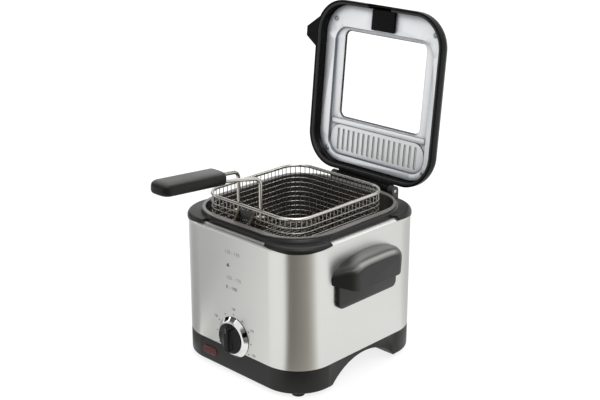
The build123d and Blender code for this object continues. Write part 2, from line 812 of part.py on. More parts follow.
with BuildPart() as filter_pad:
    with BuildSketch(at_depth(field_depth)):
        lid_field(filter_hw - filter_border - fit, filter_low + filter_border + fit,
                  filter_high - filter_border - fit, filter_r - filter_border)
    extrude(amount=lid_t - lid_wall - field_depth - fit)

# Gate: black roof over the notch that the basket's rods pass through
with BuildPart() as handle_gate:
    with BuildSketch(at_depth(liner_depth)):
        with Locations((0, -gate_mid)):
            Rectangle(gate_w, gate_l)
    extrude(amount=-gate_t)

# Basket: welded wire rim and foot ring, flat nets between rounded corner nets
basket_w = pot_w - 2 * basket_gap_x
basket_d = pot_d - 2 * basket_gap_y
net_w = basket_w - 2 * basket_r
net_d = basket_d - 2 * basket_r
net_low = rim_z - basket_h
net_top = rim_z - rim_d / 2 - weld
net_mid = (net_low + net_top) / 2
basket_front = basket_y - basket_d / 2
basket_back = basket_y + basket_d / 2


def basket_path(height):
    """Closed rounded path round the basket at one height."""
    FilletPolyline(
        (basket_w / 2, basket_back, height), (-basket_w / 2, basket_back, height),
        (-basket_w / 2, basket_front, height), (basket_w / 2, basket_front, height),
        radius=basket_r, close=True)


def net(width, height):
    """Square-holed net of a whole number of gaps each way."""
    across = max(1, round((width - net_wire) / net_pitch))
    up = max(1, round((height - net_wire) / net_pitch))
    step_x = (width - net_wire) / across
    step_y = (height - net_wire) / up
    Rectangle(width, height)
    with GridLocations(step_x, step_y, across, up):
        Rectangle(step_x - net_wire, step_y - net_wire, mode=Mode.SUBTRACT)


with BuildPart() as basket_rim:
    with BuildLine() as rim_path:
        basket_path(rim_z)
    with BuildSketch(Plane(origin=rim_path.line @ 0, z_dir=rim_path.line % 0)):
        Circle(rim_d / 2)
    sweep()

with BuildPart() as basket_foot_ring:
    with BuildLine() as foot_path:
        basket_path(net_low - base_wire_d / 2 - weld)
    with BuildSketch(Plane(origin=foot_path.line @ 0, z_dir=foot_path.line % 0)):
        Circle(base_wire_d / 2)
    sweep()

with BuildPart() as basket_front_net:
    with BuildSketch(Plane.XZ.offset(-basket_front - net_wire / 2)):
        with Locations((0, net_mid)):
            net(net_w, net_top - net_low)
    extrude(amount=net_wire)

with BuildPart() as basket_back_net:
    with BuildSketch(Plane.XZ.offset(-basket_back - net_wire / 2)):
        with Locations((0, net_mid)):
            net(net_w, net_top - net_low)
    extrude(amount=net_wire)

with BuildPart() as basket_right_net:
    with BuildSketch(Plane.YZ.offset(basket_w / 2 - net_wire / 2)):
        with Locations((basket_y, net_mid)):
            net(net_d, net_top - net_low)
    extrude(amount=net_wire)

with BuildPart() as basket_left_net:
    mirror(basket_right_net.part, about=Plane.YZ)

with BuildPart() as basket_corner_nets:
    corner_rows = max(1, round((net_top - net_low - net_wire) / net_pitch))
    corner_step = (net_top - net_low - net_wire) / corner_rows
    corner_planes = [Plane.XY.offset(net_low + row * corner_step) for row in range(corner_rows + 1)]
    with BuildSketch(*corner_planes):
        with Locations((0, basket_y)):
            RectangleRounded(basket_w + net_wire, basket_d + net_wire, basket_r + net_wire / 2)
            RectangleRounded(basket_w - net_wire, basket_d - net_wire, basket_r - net_wire / 2,
                             mode=Mode.SUBTRACT)
            Rectangle(net_w + 2 * weld, 2 * basket_d, mode=Mode.SUBTRACT)
            Rectangle(2 * basket_w, net_d + 2 * weld, mode=Mode.SUBTRACT)
    extrude(amount=net_wire)
    with BuildSketch(Plane.XY.offset(net_low)):
        for hand_x, hand_y, turn in ((1, 1, 0), (-1, 1, 90), (-1, -1, 180), (1, -1, 270)):
            with Locations((hand_x * net_w / 2, basket_y + hand_y * net_d / 2)):
                with PolarLocations(basket_r, corner_wires, start_angle=turn + 45 / corner_wires,
                                    angular_range=90, endpoint=False):
                    Rectangle(net_wire, net_wire)
    extrude(amount=net_top - net_low)

with BuildPart() as basket_floor_net:
    with BuildSketch(Plane.XY.offset(net_low + weld)):
        with Locations((0, basket_y)):
            RectangleRounded(basket_w - 2 * net_wire, basket_d - 2 * net_wire, basket_r - net_wire)
    extrude(amount=net_wire)
    with BuildSketch(Plane.XY.offset(net_low + weld)):
        with Locations((0, basket_y)):
            with GridLocations(net_pitch, net_pitch, int(basket_w / net_pitch), int(basket_d / net_pitch)):
                Rectangle(net_pitch - net_wire, net_pitch - net_wire)
            RectangleRounded(basket_w - 5 * net_wire, basket_d - 5 * net_wire, basket_r - 2 * net_wire,
                             mode=Mode.INTERSECT)
    extrude(amount=net_wire, mode=Mode.SUBTRACT)

# Handle of the basket: two bent rods from the front wall into a moulded grip
tilt = radians(grip_tilt)
grip_y = basket_front - grip_gap
leg_y = basket_front + rim_d / 2 + rod_d / 2 + weld
with BuildPart() as handle_rods:
    for hand in (1, -1):
        with BuildLine() as rod_path:
            FilletPolyline(
                (hand * rod_grip_hw, grip_y - rod_tail * cos(tilt), grip_z + rod_tail * sin(tilt)),
                (hand * rod_hw, leg_y, rod_top),
                (hand * rod_hw, leg_y, rod_low),
                radius=rod_bend)
        with BuildSketch(Plane(origin=rod_path.line @ 0, z_dir=rod_path.line % 0)):
            Circle(rod_d / 2)
        sweep()

with BuildPart() as rod_sockets:
    socket_back = leg_y + rod_d / 2 + net_wire
    with BuildSketch(Plane.XY.offset(rod_low - weld)):
        with Locations((rod_hw, (basket_front + net_wire / 2 + socket_back) / 2),
                       (-rod_hw, (basket_front + net_wire / 2 + socket_back) / 2)):
            Rectangle(socket_w, socket_back - basket_front - net_wire / 2)
    extrude(amount=socket_h)
    with BuildSketch(Plane.XY.offset(rod_low - weld)):
        with Locations((rod_hw, leg_y), (-rod_hw, leg_y)):
            Circle(rod_d / 2 + weld)
    extrude(amount=socket_h, mode=Mode.SUBTRACT)

# Drain hooks: two bent tongues on the front net, with a plate between them
hook_face = basket_front - net_wire / 2
with BuildPart() as drain_hooks:
    hook_out = front + pot_inset + hook_clear
    hook_fall = (hook_top - flange_top - hook_t) / (hook_face - hook_out)
    with BuildSketch(Plane.YZ.offset(-hook_w / 2)):
        with BuildLine():
            Polyline(
                (hook_face, hook_top - hook_h),
                (hook_face, hook_top),
                (hook_out, flange_top + hook_t),
                (hook_out, flange_top - hook_t / 2),
                (hook_face - hook_t, flange_top - hook_t / 2 + hook_fall * (hook_face - hook_t - hook_out)),
                (hook_face - hook_t, hook_top - hook_h),
                close=True)
        make_face()
    hook = extrude(amount=hook_w, mode=Mode.PRIVATE)
    with Locations((hook_hw, 0, 0), (-hook_hw, 0, 0)):
        add(hook)

with BuildPart() as hook_plate:
    with BuildSketch(Plane.XZ.offset(-hook_face)):
        with Locations((0, hook_top - hook_plate_h / 2)):
            Rectangle(2 * hook_hw - hook_w - 2 * weld, hook_plate_h)
    extrude(amount=hook_t / 2)

with BuildPart() as handle_grip:
    grip_plane = Plane(origin=(0, grip_y, grip_z), x_dir=(1, 0, 0), z_dir=(0, -cos(tilt), sin(tilt)))
    with BuildSketch(grip_plane):
        RectangleRounded(grip_w, grip_t, grip_round)
    with BuildSketch(grip_plane.offset(grip_l)):
        RectangleRounded(grip_end_w, grip_t, grip_round)
    loft()
    fillet(handle_grip.faces().sort_by(Axis.Y)[0].edges(), grip_end_r)
    add(handle_rods.part, mode=Mode.SUBTRACT)

for name, piece in {
    "base_tray": base_tray, "rubber_feet": rubber_feet, "shield_posts": shield_posts,
    "base_screws": base_screws, "steel_wall": steel_wall, "top_collar": top_collar,
    "inner_pot": inner_pot, "heater_plate": heater_plate, "heating_element": heating_element,
    "thermal_cutout": thermal_cutout, "heat_shield": heat_shield, "terminal_block": terminal_block,
    "cord_gland": cord_gland, "thermostat": thermostat, "knob_shaft": knob_shaft,
    "knob_skirt": knob_skirt, "knob_cap": knob_cap, "pilot_lens": pilot_lens,
    "lamp_holder": lamp_holder, "right_handle": right_handle, "left_handle": left_handle,
    "handle_screws": handle_screws, "hinge_block": hinge_block, "hinge_screws": hinge_screws,
    "hinge_pin": hinge_pin,
    "lid_shell": lid_shell, "lid_liner": lid_liner, "liner_screws": liner_screws,
    "window_glass": window_glass, "window_gasket": window_gasket, "lid_seal": lid_seal,
    "filter_cover": filter_cover, "filter_pad": filter_pad, "handle_gate": handle_gate,
    "basket_rim": basket_rim, "basket_foot_ring": basket_foot_ring,
    "basket_front_net": basket_front_net, "basket_back_net": basket_back_net,
    "basket_right_net": basket_right_net, "basket_left_net": basket_left_net,
    "basket_corner_nets": basket_corner_nets, "basket_floor_net": basket_floor_net,
    "handle_rods": handle_rods, "rod_sockets": rod_sockets, "drain_hooks": drain_hooks,
    "hook_plate": hook_plate, "handle_grip": handle_grip,
}.items():
    piece.part.label = name
    export_step(piece.part, f"parts/{name}.step")
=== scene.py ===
import json
import math

import bmesh
import bpy
from mathutils import Matrix, Vector


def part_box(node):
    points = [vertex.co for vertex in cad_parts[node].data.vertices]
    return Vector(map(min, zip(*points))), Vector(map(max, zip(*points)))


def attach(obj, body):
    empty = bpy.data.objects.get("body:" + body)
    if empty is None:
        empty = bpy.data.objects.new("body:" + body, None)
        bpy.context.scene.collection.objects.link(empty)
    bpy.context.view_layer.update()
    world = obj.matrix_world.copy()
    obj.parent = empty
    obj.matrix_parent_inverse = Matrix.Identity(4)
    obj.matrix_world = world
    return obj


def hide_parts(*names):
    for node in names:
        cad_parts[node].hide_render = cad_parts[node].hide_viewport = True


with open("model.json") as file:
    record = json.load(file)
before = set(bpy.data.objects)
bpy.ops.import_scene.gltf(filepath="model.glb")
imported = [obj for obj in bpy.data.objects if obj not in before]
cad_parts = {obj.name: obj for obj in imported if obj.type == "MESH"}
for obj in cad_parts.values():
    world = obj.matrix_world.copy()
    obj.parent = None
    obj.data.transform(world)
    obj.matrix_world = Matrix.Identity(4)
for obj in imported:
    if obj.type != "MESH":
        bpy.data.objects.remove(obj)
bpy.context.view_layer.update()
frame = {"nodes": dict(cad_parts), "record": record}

nodes = frame["nodes"]
scene = bpy.context.scene


# The view: a compact fryer seen from its front right corner and a little from above, on white.
# Lens and place were fitted to the straight edges of the body and the lid, with no shift.
def placed(name, data):
    """An object for a lens, a lamp or a mesh, put in the scene at the origin."""
    piece = bpy.data.objects.new(name, data)
    scene.collection.objects.link(piece)
    return piece


view_azimuth = 44.156
view_elevation = 19.45
view_data = bpy.data.cameras.new("view")
view_data.lens = 69.97
view_data.sensor_width = 36.0
view = placed("view", view_data)
view.location = (0.9083, -0.9353, 0.6531)
view.rotation_euler = (math.radians(90 - view_elevation), 0, math.radians(view_azimuth))
scene.camera = view
scene.view_settings.view_transform = "Standard"


# The room: white walls that metal and glass also see, and a weaker even light on everything else.
# Soft lamps stand round it: a key from the right, a fill from the left, a top light, and a small one
# behind on the right that puts a bright line on rounded edges.
def linear(hex_colour):
    """Linear RGBA of an sRGB hex colour."""
    channels = [int(hex_colour[i:i + 2], 16) / 255 for i in (1, 3, 5)]
    return [c / 12.92 if c <= 0.04045 else ((c + 0.055) / 1.055) ** 2.4 for c in channels] + [1.0]


def feed(node, inputs):
    """Sets a node's inputs: each takes a value, or the socket that feeds it."""
    for name, value in inputs.items():
        if isinstance(value, bpy.types.NodeSocket):
            node.id_data.links.new(value, node.inputs[name])
        else:
            node.inputs[name].default_value = value


def add(tree, kind, settings=None, inputs=None):
    """One node with its settings and inputs."""
    node = tree.nodes.new(kind)
    for name, value in (settings or {}).items():
        setattr(node, name, value)
    feed(node, inputs or {})
    return node


def pictured(tree):
    """One for the rays that picture a thing: from the lens, in a mirror and through glass."""
    rays = add(tree, "ShaderNodeLightPath")
    seen = rays.outputs["Is Camera Ray"]
    for ray in ("Is Glossy Ray", "Is Transmission Ray"):
        either = add(tree, "ShaderNodeMath", {"operation": "MAXIMUM"}, {0: seen, 1: rays.outputs[ray]})
        seen = either.outputs[0]
    return seen


room_light = 0.55
lamp_target = Vector((0, 0, 0.15))
room = bpy.data.worlds.new("white_room")
scene.world = room
room.use_nodes = True
tree = room.node_tree
tree.nodes.clear()
dim = add(tree, "ShaderNodeBackground", None, {"Color": linear("#ffffff"), "Strength": room_light})
white = add(tree, "ShaderNodeBackground", None, {"Color": linear("#ffffff"), "Strength": 1.0})
both = add(tree, "ShaderNodeMixShader", None, {0: pictured(tree), 1: dim.outputs[0], 2: white.outputs[0]})
add(tree, "ShaderNodeOutputWorld", None, {"Surface": both.outputs[0]})

for lamp_name, place, size, watts in (("key_lamp", (1.3, -0.7, 1.5), 1.2, 20.0),
                                      ("fill_lamp", (-1.5, -1.1, 1.2), 1.4, 9.0),
                                      ("top_lamp", (-0.2, 0.5, 1.9), 1.6, 14.0),
                                      ("rim_lamp", (0.50, 0.81, 0.91), 0.16, 0.22)):
    lamp_data = bpy.data.lights.new(lamp_name, "AREA")
    lamp_data.size = size
    lamp_data.energy = watts
    aim = lamp_target - Vector(place)
    lamp = placed(lamp_name, lamp_data)
    lamp.matrix_world = Matrix.Translation(place) @ aim.to_track_quat("-Z", "Y").to_matrix().to_4x4()

# Table top: a broad white laminate sheet that runs out of sight on every side.
# It is drawn as white as the room behind it and keeps the fryer's soft shadow.
table_half = 6.0
shadow_near, shadow_far = 0.35, 1.0
glow_near = 0.70
table_mesh = bpy.data.meshes.new("table_top")
table_mesh.from_pydata([(-table_half, -table_half, 0), (table_half, -table_half, 0),
                        (table_half, table_half, 0), (-table_half, table_half, 0)], [], [(0, 1, 2, 3)])
table = placed("table_top", table_mesh)
table_white = bpy.data.materials.new("white_laminate")
table_white.use_nodes = True
tree = table_white.node_tree
tree.nodes.clear()
glow = add(tree, "ShaderNodeEmission", None, {"Color": linear("#ffffff"), "Strength": 1.15})
matt = add(tree, "ShaderNodeBsdfDiffuse", None, {"Color": linear("#f6f6f4")})
place = add(tree, "ShaderNodeTexCoord")
away = add(tree, "ShaderNodeVectorMath", {"operation": "LENGTH"}, {0: place.outputs["Object"]})
whiter = add(tree, "ShaderNodeMapRange", None,
             {0: away.outputs["Value"], 1: shadow_near, 2: shadow_far, 3: glow_near, 4: 1.0})
part_glow = add(tree, "ShaderNodeMath", {"operation": "MULTIPLY"},
                {0: pictured(tree), 1: whiter.outputs[0]})
share = add(tree, "ShaderNodeMixShader", None,
            {0: part_glow.outputs[0], 1: matt.outputs[0], 2: glow.outputs[0]})
add(tree, "ShaderNodeOutputMaterial", None, {"Surface": share.outputs[0]})
table_mesh.materials.append(table_white)


# Grey boards: what the steel mirrors besides the white room, and nothing else sees.
# The dark end draws the upright band on the near corner, the sweep and the fans shade the walls towards
# their far edges, the arch greys the front shoulder, and two black cards mark the chrome ring.
def board(name, rows):
    """A board that only glossy rays meet: rows of points, each row with its tone."""
    across = len(rows[0][1])
    mesh = bpy.data.meshes.new(name)
    mesh.from_pydata([point for tone, row in rows for point in row], [],
                     [(i * across + k, i * across + k + 1, (i + 1) * across + k + 1, (i + 1) * across + k)
                      for i in range(len(rows) - 1) for k in range(across - 1)])
    shade = mesh.attributes.new("tone", "FLOAT_COLOR", "POINT")
    for i, held in enumerate(shade.data):
        held.color = linear(rows[i // across][0])
    material = bpy.data.materials.new(name + "_card")
    material.use_nodes = True
    tree = material.node_tree
    tree.nodes.clear()
    tone = add(tree, "ShaderNodeAttribute", {"attribute_name": "tone"})
    light = add(tree, "ShaderNodeEmission", None, {"Color": tone.outputs["Color"], "Strength": 1.1})
    add(tree, "ShaderNodeOutputMaterial", None, {"Surface": light.outputs[0]})
    mesh.materials.append(material)
    piece = placed(name, mesh)
    piece.visible_camera = piece.visible_diffuse = False
    piece.visible_transmission = piece.visible_shadow = False


def fan(name, axis, near, far, tones, height=0.0):
    """Tones lying round an upright axis, each at its angle from the front; a height folds the rim up."""
    rows = []
    for turn, tone in tones:
        outward = Vector((math.sin(math.radians(turn)), -math.cos(math.radians(turn)), 0))
        rows.append((tone, [axis + outward * near, axis + outward * far]))
        if height:
            rows[-1][1].append(axis + outward * far + Vector((0, 0, height)))
    board(name, rows)


end_tones = ((-34, "#ffffff"), (-29, "#c2bfb6"), (-24, "#726f67"), (-15, "#7f7c73"), (0, "#86837a"),
             (15, "#8f8c82"), (27, "#a7a49a"), (38, "#d0cec7"), (48, "#ffffff"))
fan("dark_end", Vector((0.057, -0.062, 0.0008)), near=0.085, far=1.5, height=1.3,
    tones=[(view_azimuth + turn, tone) for turn, tone in end_tones])

sweep_tones = ((-0.062, "#b6b6b6"), (-0.040, "#cecece"), (-0.018, "#dadada"), (0.010, "#e2e2e2"),
               (0.040, "#ececec"), (0.075, "#ffffff"))
sweep_near, sweep_far, sweep_from, sweep_slope, sweep_z = -0.13, -0.72, -0.11, 0.97, 0.0005
board("grey_sweep", [(tone, [(along + sweep_slope * (y - sweep_from), y, sweep_z)
                             for y in (sweep_near, sweep_far)]) for along, tone in sweep_tones])

fan("grey_fan", Vector((-0.057, -0.062, 0.0006)), near=0.07, far=0.85, tones=(
    (-38, "#b6b6b6"), (-56, "#acacac"), (-76, "#b6b6b6"), (-96, "#dcdcdc"), (-114, "#ffffff")))
fan("grey_back", Vector((0.057, 0.062, 0.0006)), near=0.07, far=0.85, tones=(
    (130, "#ffffff"), (142, "#e6e6e6"), (162, "#d2d2d2"), (190, "#cccccc"), (220, "#cccccc")))

ring_middle = Vector((0, -0.125, 0.052))
card_away, card_black = 1.2, "#050505"
for card_name, way, half, rise in (("front_card", Vector((0.63, -0.70, 0.16)), 0.30, 0.19),
                                   ("left_card", Vector((-0.917, -0.015, 0.249)), 0.34, 0.22)):
    middle = ring_middle + card_away * way
    aside = way.cross(Vector((0, 0, 1))).normalized() * half
    raised = Vector((0, 0, rise))
    board(card_name, [(card_black, [middle - aside + edge, middle + aside + edge])
                      for edge in (-raised, raised)])

sight = Vector((-0.657, 0.677, -0.333))
shoulder = Vector((0, -0.107, 0.18))
arch_away, arch_half = 1.3, 0.35
arch_rows = []
for lean, tone in ((12, "#b4b4b2"), (30, "#9c9c9a"), (38, "#242423"), (46, "#242423"), (54, "#9c9c9a"),
                   (70, "#b4b4b2")):
    facing = Vector((0, -math.cos(math.radians(lean)), math.sin(math.radians(lean))))
    mirrored = sight - 2 * sight.dot(facing) * facing
    middle = shoulder + arch_away * mirrored
    aside = mirrored.cross(Vector((1, 0, 0))).normalized().cross(mirrored) * arch_half
    arch_rows.append((tone, [middle - aside, middle + aside]))
board("grey_arch", arch_rows)


# Base: one charcoal ABS moulding with a lifting arch in each side, which the steel sleeve drops on.
# The tool was spark-eroded to a fine satin, so the corners catch a broad soft light.
def surface(name, colour, roughness, metallic=0.0):
    """A new material with its shader, the tree to draw on, and Object coordinates in metres."""
    material = bpy.data.materials.new(name)
    material.use_nodes = True
    tree = material.node_tree
    tree.nodes.clear()
    shader = add(tree, "ShaderNodeBsdfPrincipled", None,
                 {"Base Color": linear(colour), "Roughness": roughness, "Metallic": metallic})
    add(tree, "ShaderNodeOutputMaterial", None, {"Surface": shader.outputs[0]})
    place = add(tree, "ShaderNodeTexCoord")
    return material, tree, shader, place.outputs["Object"]


def moulded(name, colour, roughness, grain_mm, depth_mm, edge_mm=0.6, shine=0.5):
    """Moulded plastic: spark-eroded grain, faintly uneven gloss, and edges left soft by the tool."""
    material, tree, shader, place = surface(name, colour, roughness)
    grain = add(tree, "ShaderNodeTexNoise", None,
                {"Vector": place, "Scale": 1000 / grain_mm, "Detail": 2.0})
    cloud = add(tree, "ShaderNodeTexNoise", None, {"Vector": place, "Scale": 1000 / 45, "Detail": 3.0})
    gloss = add(tree, "ShaderNodeMapRange", None,
                {0: cloud.outputs[0], 1: 0.3, 2: 0.7, 3: roughness - 0.04, 4: roughness + 0.06})
    tone = add(tree, "ShaderNodeMix", {"data_type": "RGBA"},
               {0: cloud.outputs[0], 6: linear(colour), 7: [min(1, c * 1.3) for c in linear(colour)]})
    soft = add(tree, "ShaderNodeBevel", {"samples": 4}, {"Radius": edge_mm / 1000})
    bump = add(tree, "ShaderNodeBump", None,
               {"Strength": 0.35, "Distance": depth_mm / 1000, "Height": grain.outputs[0],
                "Normal": soft.outputs[0]})
    feed(shader, {"Specular IOR Level": shine, "Roughness": gloss.outputs[0], "Base Color": tone.outputs[2],
                  "Normal": bump.outputs[0]})
    return material


body_of = {node: body for body, held in frame["record"]["behaviour"]["bodies"].items() for node in held}
slot_of = {part["node"]: part["material_slot"] for part in frame["record"]["subparts"]}


def settle(piece, body, slot, *names):
    """Hangs a finished piece on its body and hides the CAD nodes that it stands for; the slot is not used.
    """
    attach(piece, body)
    if names:
        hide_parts(*names)


def bake(piece):
    """Keeps what a piece's modifiers make as its own plain mesh."""
    ready = bpy.context.evaluated_depsgraph_get()
    made = bpy.data.meshes.new_from_object(piece.evaluated_get(ready), preserve_all_data_layers=True,
                                           depsgraph=ready)
    piece.modifiers.clear()
    piece.data = made


def welded(name, weld_reach=0.000002):
    """A CAD node's triangles joined at their corners."""
    form = bmesh.new()
    form.from_mesh(nodes[name].data)
    bmesh.ops.remove_doubles(form, verts=form.verts, dist=weld_reach)
    return form


def fair(material, *names, crease=32):
    """Smooth-shaded copies of rounded CAD nodes, whose loose triangles would show as facets."""
    for name in names:
        form = welded(name)
        mesh = bpy.data.meshes.new(name + "_faired")
        form.to_mesh(mesh)
        form.free()
        mesh.shade_smooth()
        mesh.set_sharp_from_angle(angle=math.radians(crease))
        mesh.materials.clear()
        mesh.materials.append(material)
        piece = placed(name + "_faired", mesh)
        even = piece.modifiers.new("even", "WEIGHTED_NORMAL")
        even.keep_sharp = True
        even.weight = 80
        bake(piece)
        settle(piece, body_of[name], slot_of[name], name)


fair(moulded("charcoal_abs", "#131312", roughness=0.40, grain_mm=0.9, depth_mm=0.05, edge_mm=0.6,
             shine=0.30), "base_tray", "cord_gland")

# Feet: four pads of black rubber pushed into the base, matt and slightly pitted.
# They keep the hot base off the worktop and stop it sliding.
fair(moulded("foot_rubber", "#141414", roughness=0.75, grain_mm=1.2, depth_mm=0.08), "rubber_feet")


# Posts, shield and heater under the pot: pressed and plated steel, screwed up through the base floor.
# Zinc plate is bright but cloudy, with a faint crystalline mottling about 3 mm across.
def dress(material, *names):
    """Gives flat-sided CAD nodes their finish."""
    for name in names:
        nodes[name].data.materials.clear()
        nodes[name].data.materials.append(material)


zinc, tree, shader, place = surface("zinc_plate", "#b9bcbf", 0.36, 1.0)
spangle = add(tree, "ShaderNodeTexVoronoi", None, {"Vector": place, "Scale": 1000 / 3.0})
cloud = add(tree, "ShaderNodeMapRange", None, {0: spangle.outputs[0], 3: 0.28, 4: 0.46})
feed(shader, {"Roughness": cloud.outputs[0]})
dress(zinc, "shield_posts", "heat_shield", "thermostat", "thermal_cutout", "knob_shaft", "handle_screws",
      "heater_plate")


# Heating element: a bent steel tube clamped under the pot, its sheath browned by heat.
# The oxide is patchy, dull brown over grey, in blotches of about 6 mm.
def mottled(name, colour, roughness, patch_mm, detail, dark, light, metallic=0.0):
    """A finish whose colour wanders between two tones, in patches of the given size."""
    material, tree, shader, place = surface(name, colour, roughness, metallic)
    patch = add(tree, "ShaderNodeTexNoise", None,
                {"Vector": place, "Scale": 1000 / patch_mm, "Detail": detail})
    tone = add(tree, "ShaderNodeMix", {"data_type": "RGBA"},
               {0: patch.outputs[0], 6: linear(dark), 7: linear(light)})
    feed(shader, {"Base Color": tone.outputs[2]})
    return material


fair(mottled("oxidised_tube", "#4c4744", roughness=0.55, patch_mm=6.0, detail=4.0, dark="#3a3634",
             light="#6d6258", metallic=1.0), "heating_element")

# Terminal block and lamp holder: natural nylon mouldings, cream and slightly waxy.
# They carry the wiring inside the base, out of sight.
dress(moulded("natural_nylon", "#cfc8b4", roughness=0.5, grain_mm=1.0, depth_mm=0.04),
      "terminal_block", "lamp_holder")


# Screws: pan heads with a cross recess, zinc plated like the posts, driven into base, hinge and lid.
# Each head is turned and pressed, so it is a low dome with four square-ended grooves.
def planned(name, **sizes):
    """A Geometry Nodes tree that takes a geometry and named sizes, each under its socket's kind."""
    tree = bpy.data.node_groups.new(name, "GeometryNodeTree")
    tree.interface.new_socket("Start", in_out="INPUT", socket_type="NodeSocketGeometry")
    for kind, names in sizes.items():
        for socket_name in names:
            tree.interface.new_socket(socket_name, in_out="INPUT", socket_type="NodeSocket" + kind)
    tree.interface.new_socket("Made", in_out="OUTPUT", socket_type="NodeSocketGeometry")
    return tree, add(tree, "NodeGroupInput").outputs


def completed(tree, parts, material):
    """Ends a tree: its instances made real, and given their material."""
    real = add(tree, "GeometryNodeRealizeInstances", None, {0: parts.outputs[0]})
    dressed = add(tree, "GeometryNodeSetMaterial", None,
                  {"Geometry": real.outputs[0], "Material": material})
    add(tree, "NodeGroupOutput", None, {0: dressed.outputs[0]})


screw_tree, given = planned("pan_screws", Float=("Head", "Rise"), Vector=("Facing",))
twice = add(screw_tree, "ShaderNodeMath", {"operation": "MULTIPLY"}, {0: given["Rise"], 1: 2.0})
dome_size = add(screw_tree, "ShaderNodeCombineXYZ", None,
                {0: given["Head"], 1: given["Head"], 2: twice.outputs[0]})
ball = add(screw_tree, "GeometryNodeMeshUVSphere", None, {"Segments": 20, "Rings": 10, "Radius": 0.5})
dome = add(screw_tree, "GeometryNodeTransform", None,
           {"Geometry": ball.outputs[0], "Scale": dome_size.outputs[0]})
long_side = add(screw_tree, "ShaderNodeMath", {"operation": "MULTIPLY"}, {0: given["Head"], 1: 0.60})
short_side = add(screw_tree, "ShaderNodeMath", {"operation": "MULTIPLY"}, {0: given["Head"], 1: 0.15})
groove_size = add(screw_tree, "ShaderNodeCombineXYZ", None,
                  {0: long_side.outputs[0], 1: short_side.outputs[0], 2: given["Rise"]})
groove = add(screw_tree, "GeometryNodeMeshCube", None, {"Size": groove_size.outputs[0]})
lift = add(screw_tree, "ShaderNodeCombineXYZ", None, {2: given["Rise"]})
groove_a = add(screw_tree, "GeometryNodeTransform", None,
               {"Geometry": groove.outputs[0], "Translation": lift.outputs[0]})
groove_b = add(screw_tree, "GeometryNodeTransform", None,
               {"Geometry": groove_a.outputs[0], "Rotation": (0, 0, math.pi / 2)})
first_cut = add(screw_tree, "GeometryNodeMeshBoolean", {"operation": "DIFFERENCE"},
                {0: dome.outputs[0], 1: groove_a.outputs[0]})
second_cut = add(screw_tree, "GeometryNodeMeshBoolean", {"operation": "DIFFERENCE"},
                 {0: first_cut.outputs[0], 1: groove_b.outputs[0]})
facing = add(screw_tree, "FunctionNodeEulerToRotation", None, {0: given["Facing"]})
heads = add(screw_tree, "GeometryNodeInstanceOnPoints", None,
            {"Points": given["Start"], "Instance": second_cut.outputs[0], "Rotation": facing.outputs[0]})
completed(screw_tree, heads, zinc)


def grow(name, mesh, tree, **sizes):
    """Runs a Geometry Nodes tree with its named sizes on a mesh, and keeps what it makes."""
    piece = placed(name, mesh)
    maker = piece.modifiers.new("maker", "NODES")
    maker.node_group = tree
    for socket in tree.interface.items_tree:
        if socket.in_out == "INPUT" and socket.name in sizes:
            maker[socket.identifier] = sizes[socket.name]
    bake(piece)
    return piece


def screw_heads(name, node, facing, head_mm, rise_mm, reach=0.009, crease=40):
    """Pan heads on the outer ends of a CAD node's screws, each found by points that lie within reach."""
    screws = []
    for vertex in nodes[node].data.vertices:
        along = vertex.co.dot(facing)
        across = vertex.co - along * facing
        for screw in screws:
            if (screw[0][0] - across).length < reach:
                screw[0].append(across)
                screw[1] = max(screw[1], along)
                break
        else:
            screws.append([[across], along])
    seats = bpy.data.meshes.new(name + "_seats")
    seats.from_pydata([sum(ring, Vector((0, 0, 0))) / len(ring) + (end - rise_mm / 1000) * facing
                       for ring, end in screws], [], [])
    piece = grow(name, seats, screw_tree, Head=head_mm / 1000, Rise=rise_mm / 1000,
                 Facing=tuple(facing.to_track_quat("Z", "Y").to_euler()))
    piece.data.shade_smooth()
    piece.data.set_sharp_from_angle(angle=math.radians(crease))
    settle(piece, body_of[node], slot_of[node], node)


lid_lean = math.radians(5.5)
inward = Vector((0, -math.cos(lid_lean), math.sin(lid_lean)))
screw_heads("base_screw_heads", "base_screws", Vector((0, 0, -1)), head_mm=7.0, rise_mm=1.8)
screw_heads("hinge_screw_heads", "hinge_screws", Vector((0, -1, 0)), head_mm=7.0, rise_mm=1.8)
screw_heads("liner_screw_heads", "liner_screws", inward, head_mm=5.6, rise_mm=1.3)

# Wall: one deep-drawn sleeve of stainless sheet, brushed round the body to a fine horizontal grain.
# Grain stretches what it mirrors up and down. Its lines are drawn 0.9 mm apart, coarser than real,
# because the true 0.2 mm would not show.
brush_pitch_mm = 0.9
brush_length_mm = 160.0
steel, tree, shader, place = surface("brushed_stainless", "#d0d0cd", 0.30, 1.0)
round_body = add(tree, "ShaderNodeTangent", {"direction_type": "RADIAL", "axis": "Z"})
stretch = add(tree, "ShaderNodeMapping", None,
              {"Vector": place, "Scale": (1000 / brush_length_mm, 1000 / brush_length_mm,
                                          1000 / brush_pitch_mm)})
lines = add(tree, "ShaderNodeTexNoise", None,
            {"Vector": stretch.outputs[0], "Scale": 1.0, "Detail": 3.0, "Roughness": 0.6})
rough = add(tree, "ShaderNodeMapRange", None, {0: lines.outputs[0], 1: 0.3, 2: 0.7, 3: 0.285, 4: 0.315})
tone = add(tree, "ShaderNodeMix", {"data_type": "RGBA"},
           {0: lines.outputs[0], 6: linear("#cececb"), 7: linear("#d3d3d0")})
scratch = add(tree, "ShaderNodeBump", None,
              {"Strength": 0.02, "Distance": 0.00003, "Height": lines.outputs[0]})
feed(shader, {"Anisotropic": 0.6, "Anisotropic Rotation": 0.25, "Tangent": round_body.outputs[0],
              "Roughness": rough.outputs[0], "Base Color": tone.outputs[2], "Normal": scratch.outputs[0]})
fair(steel, "steel_wall")

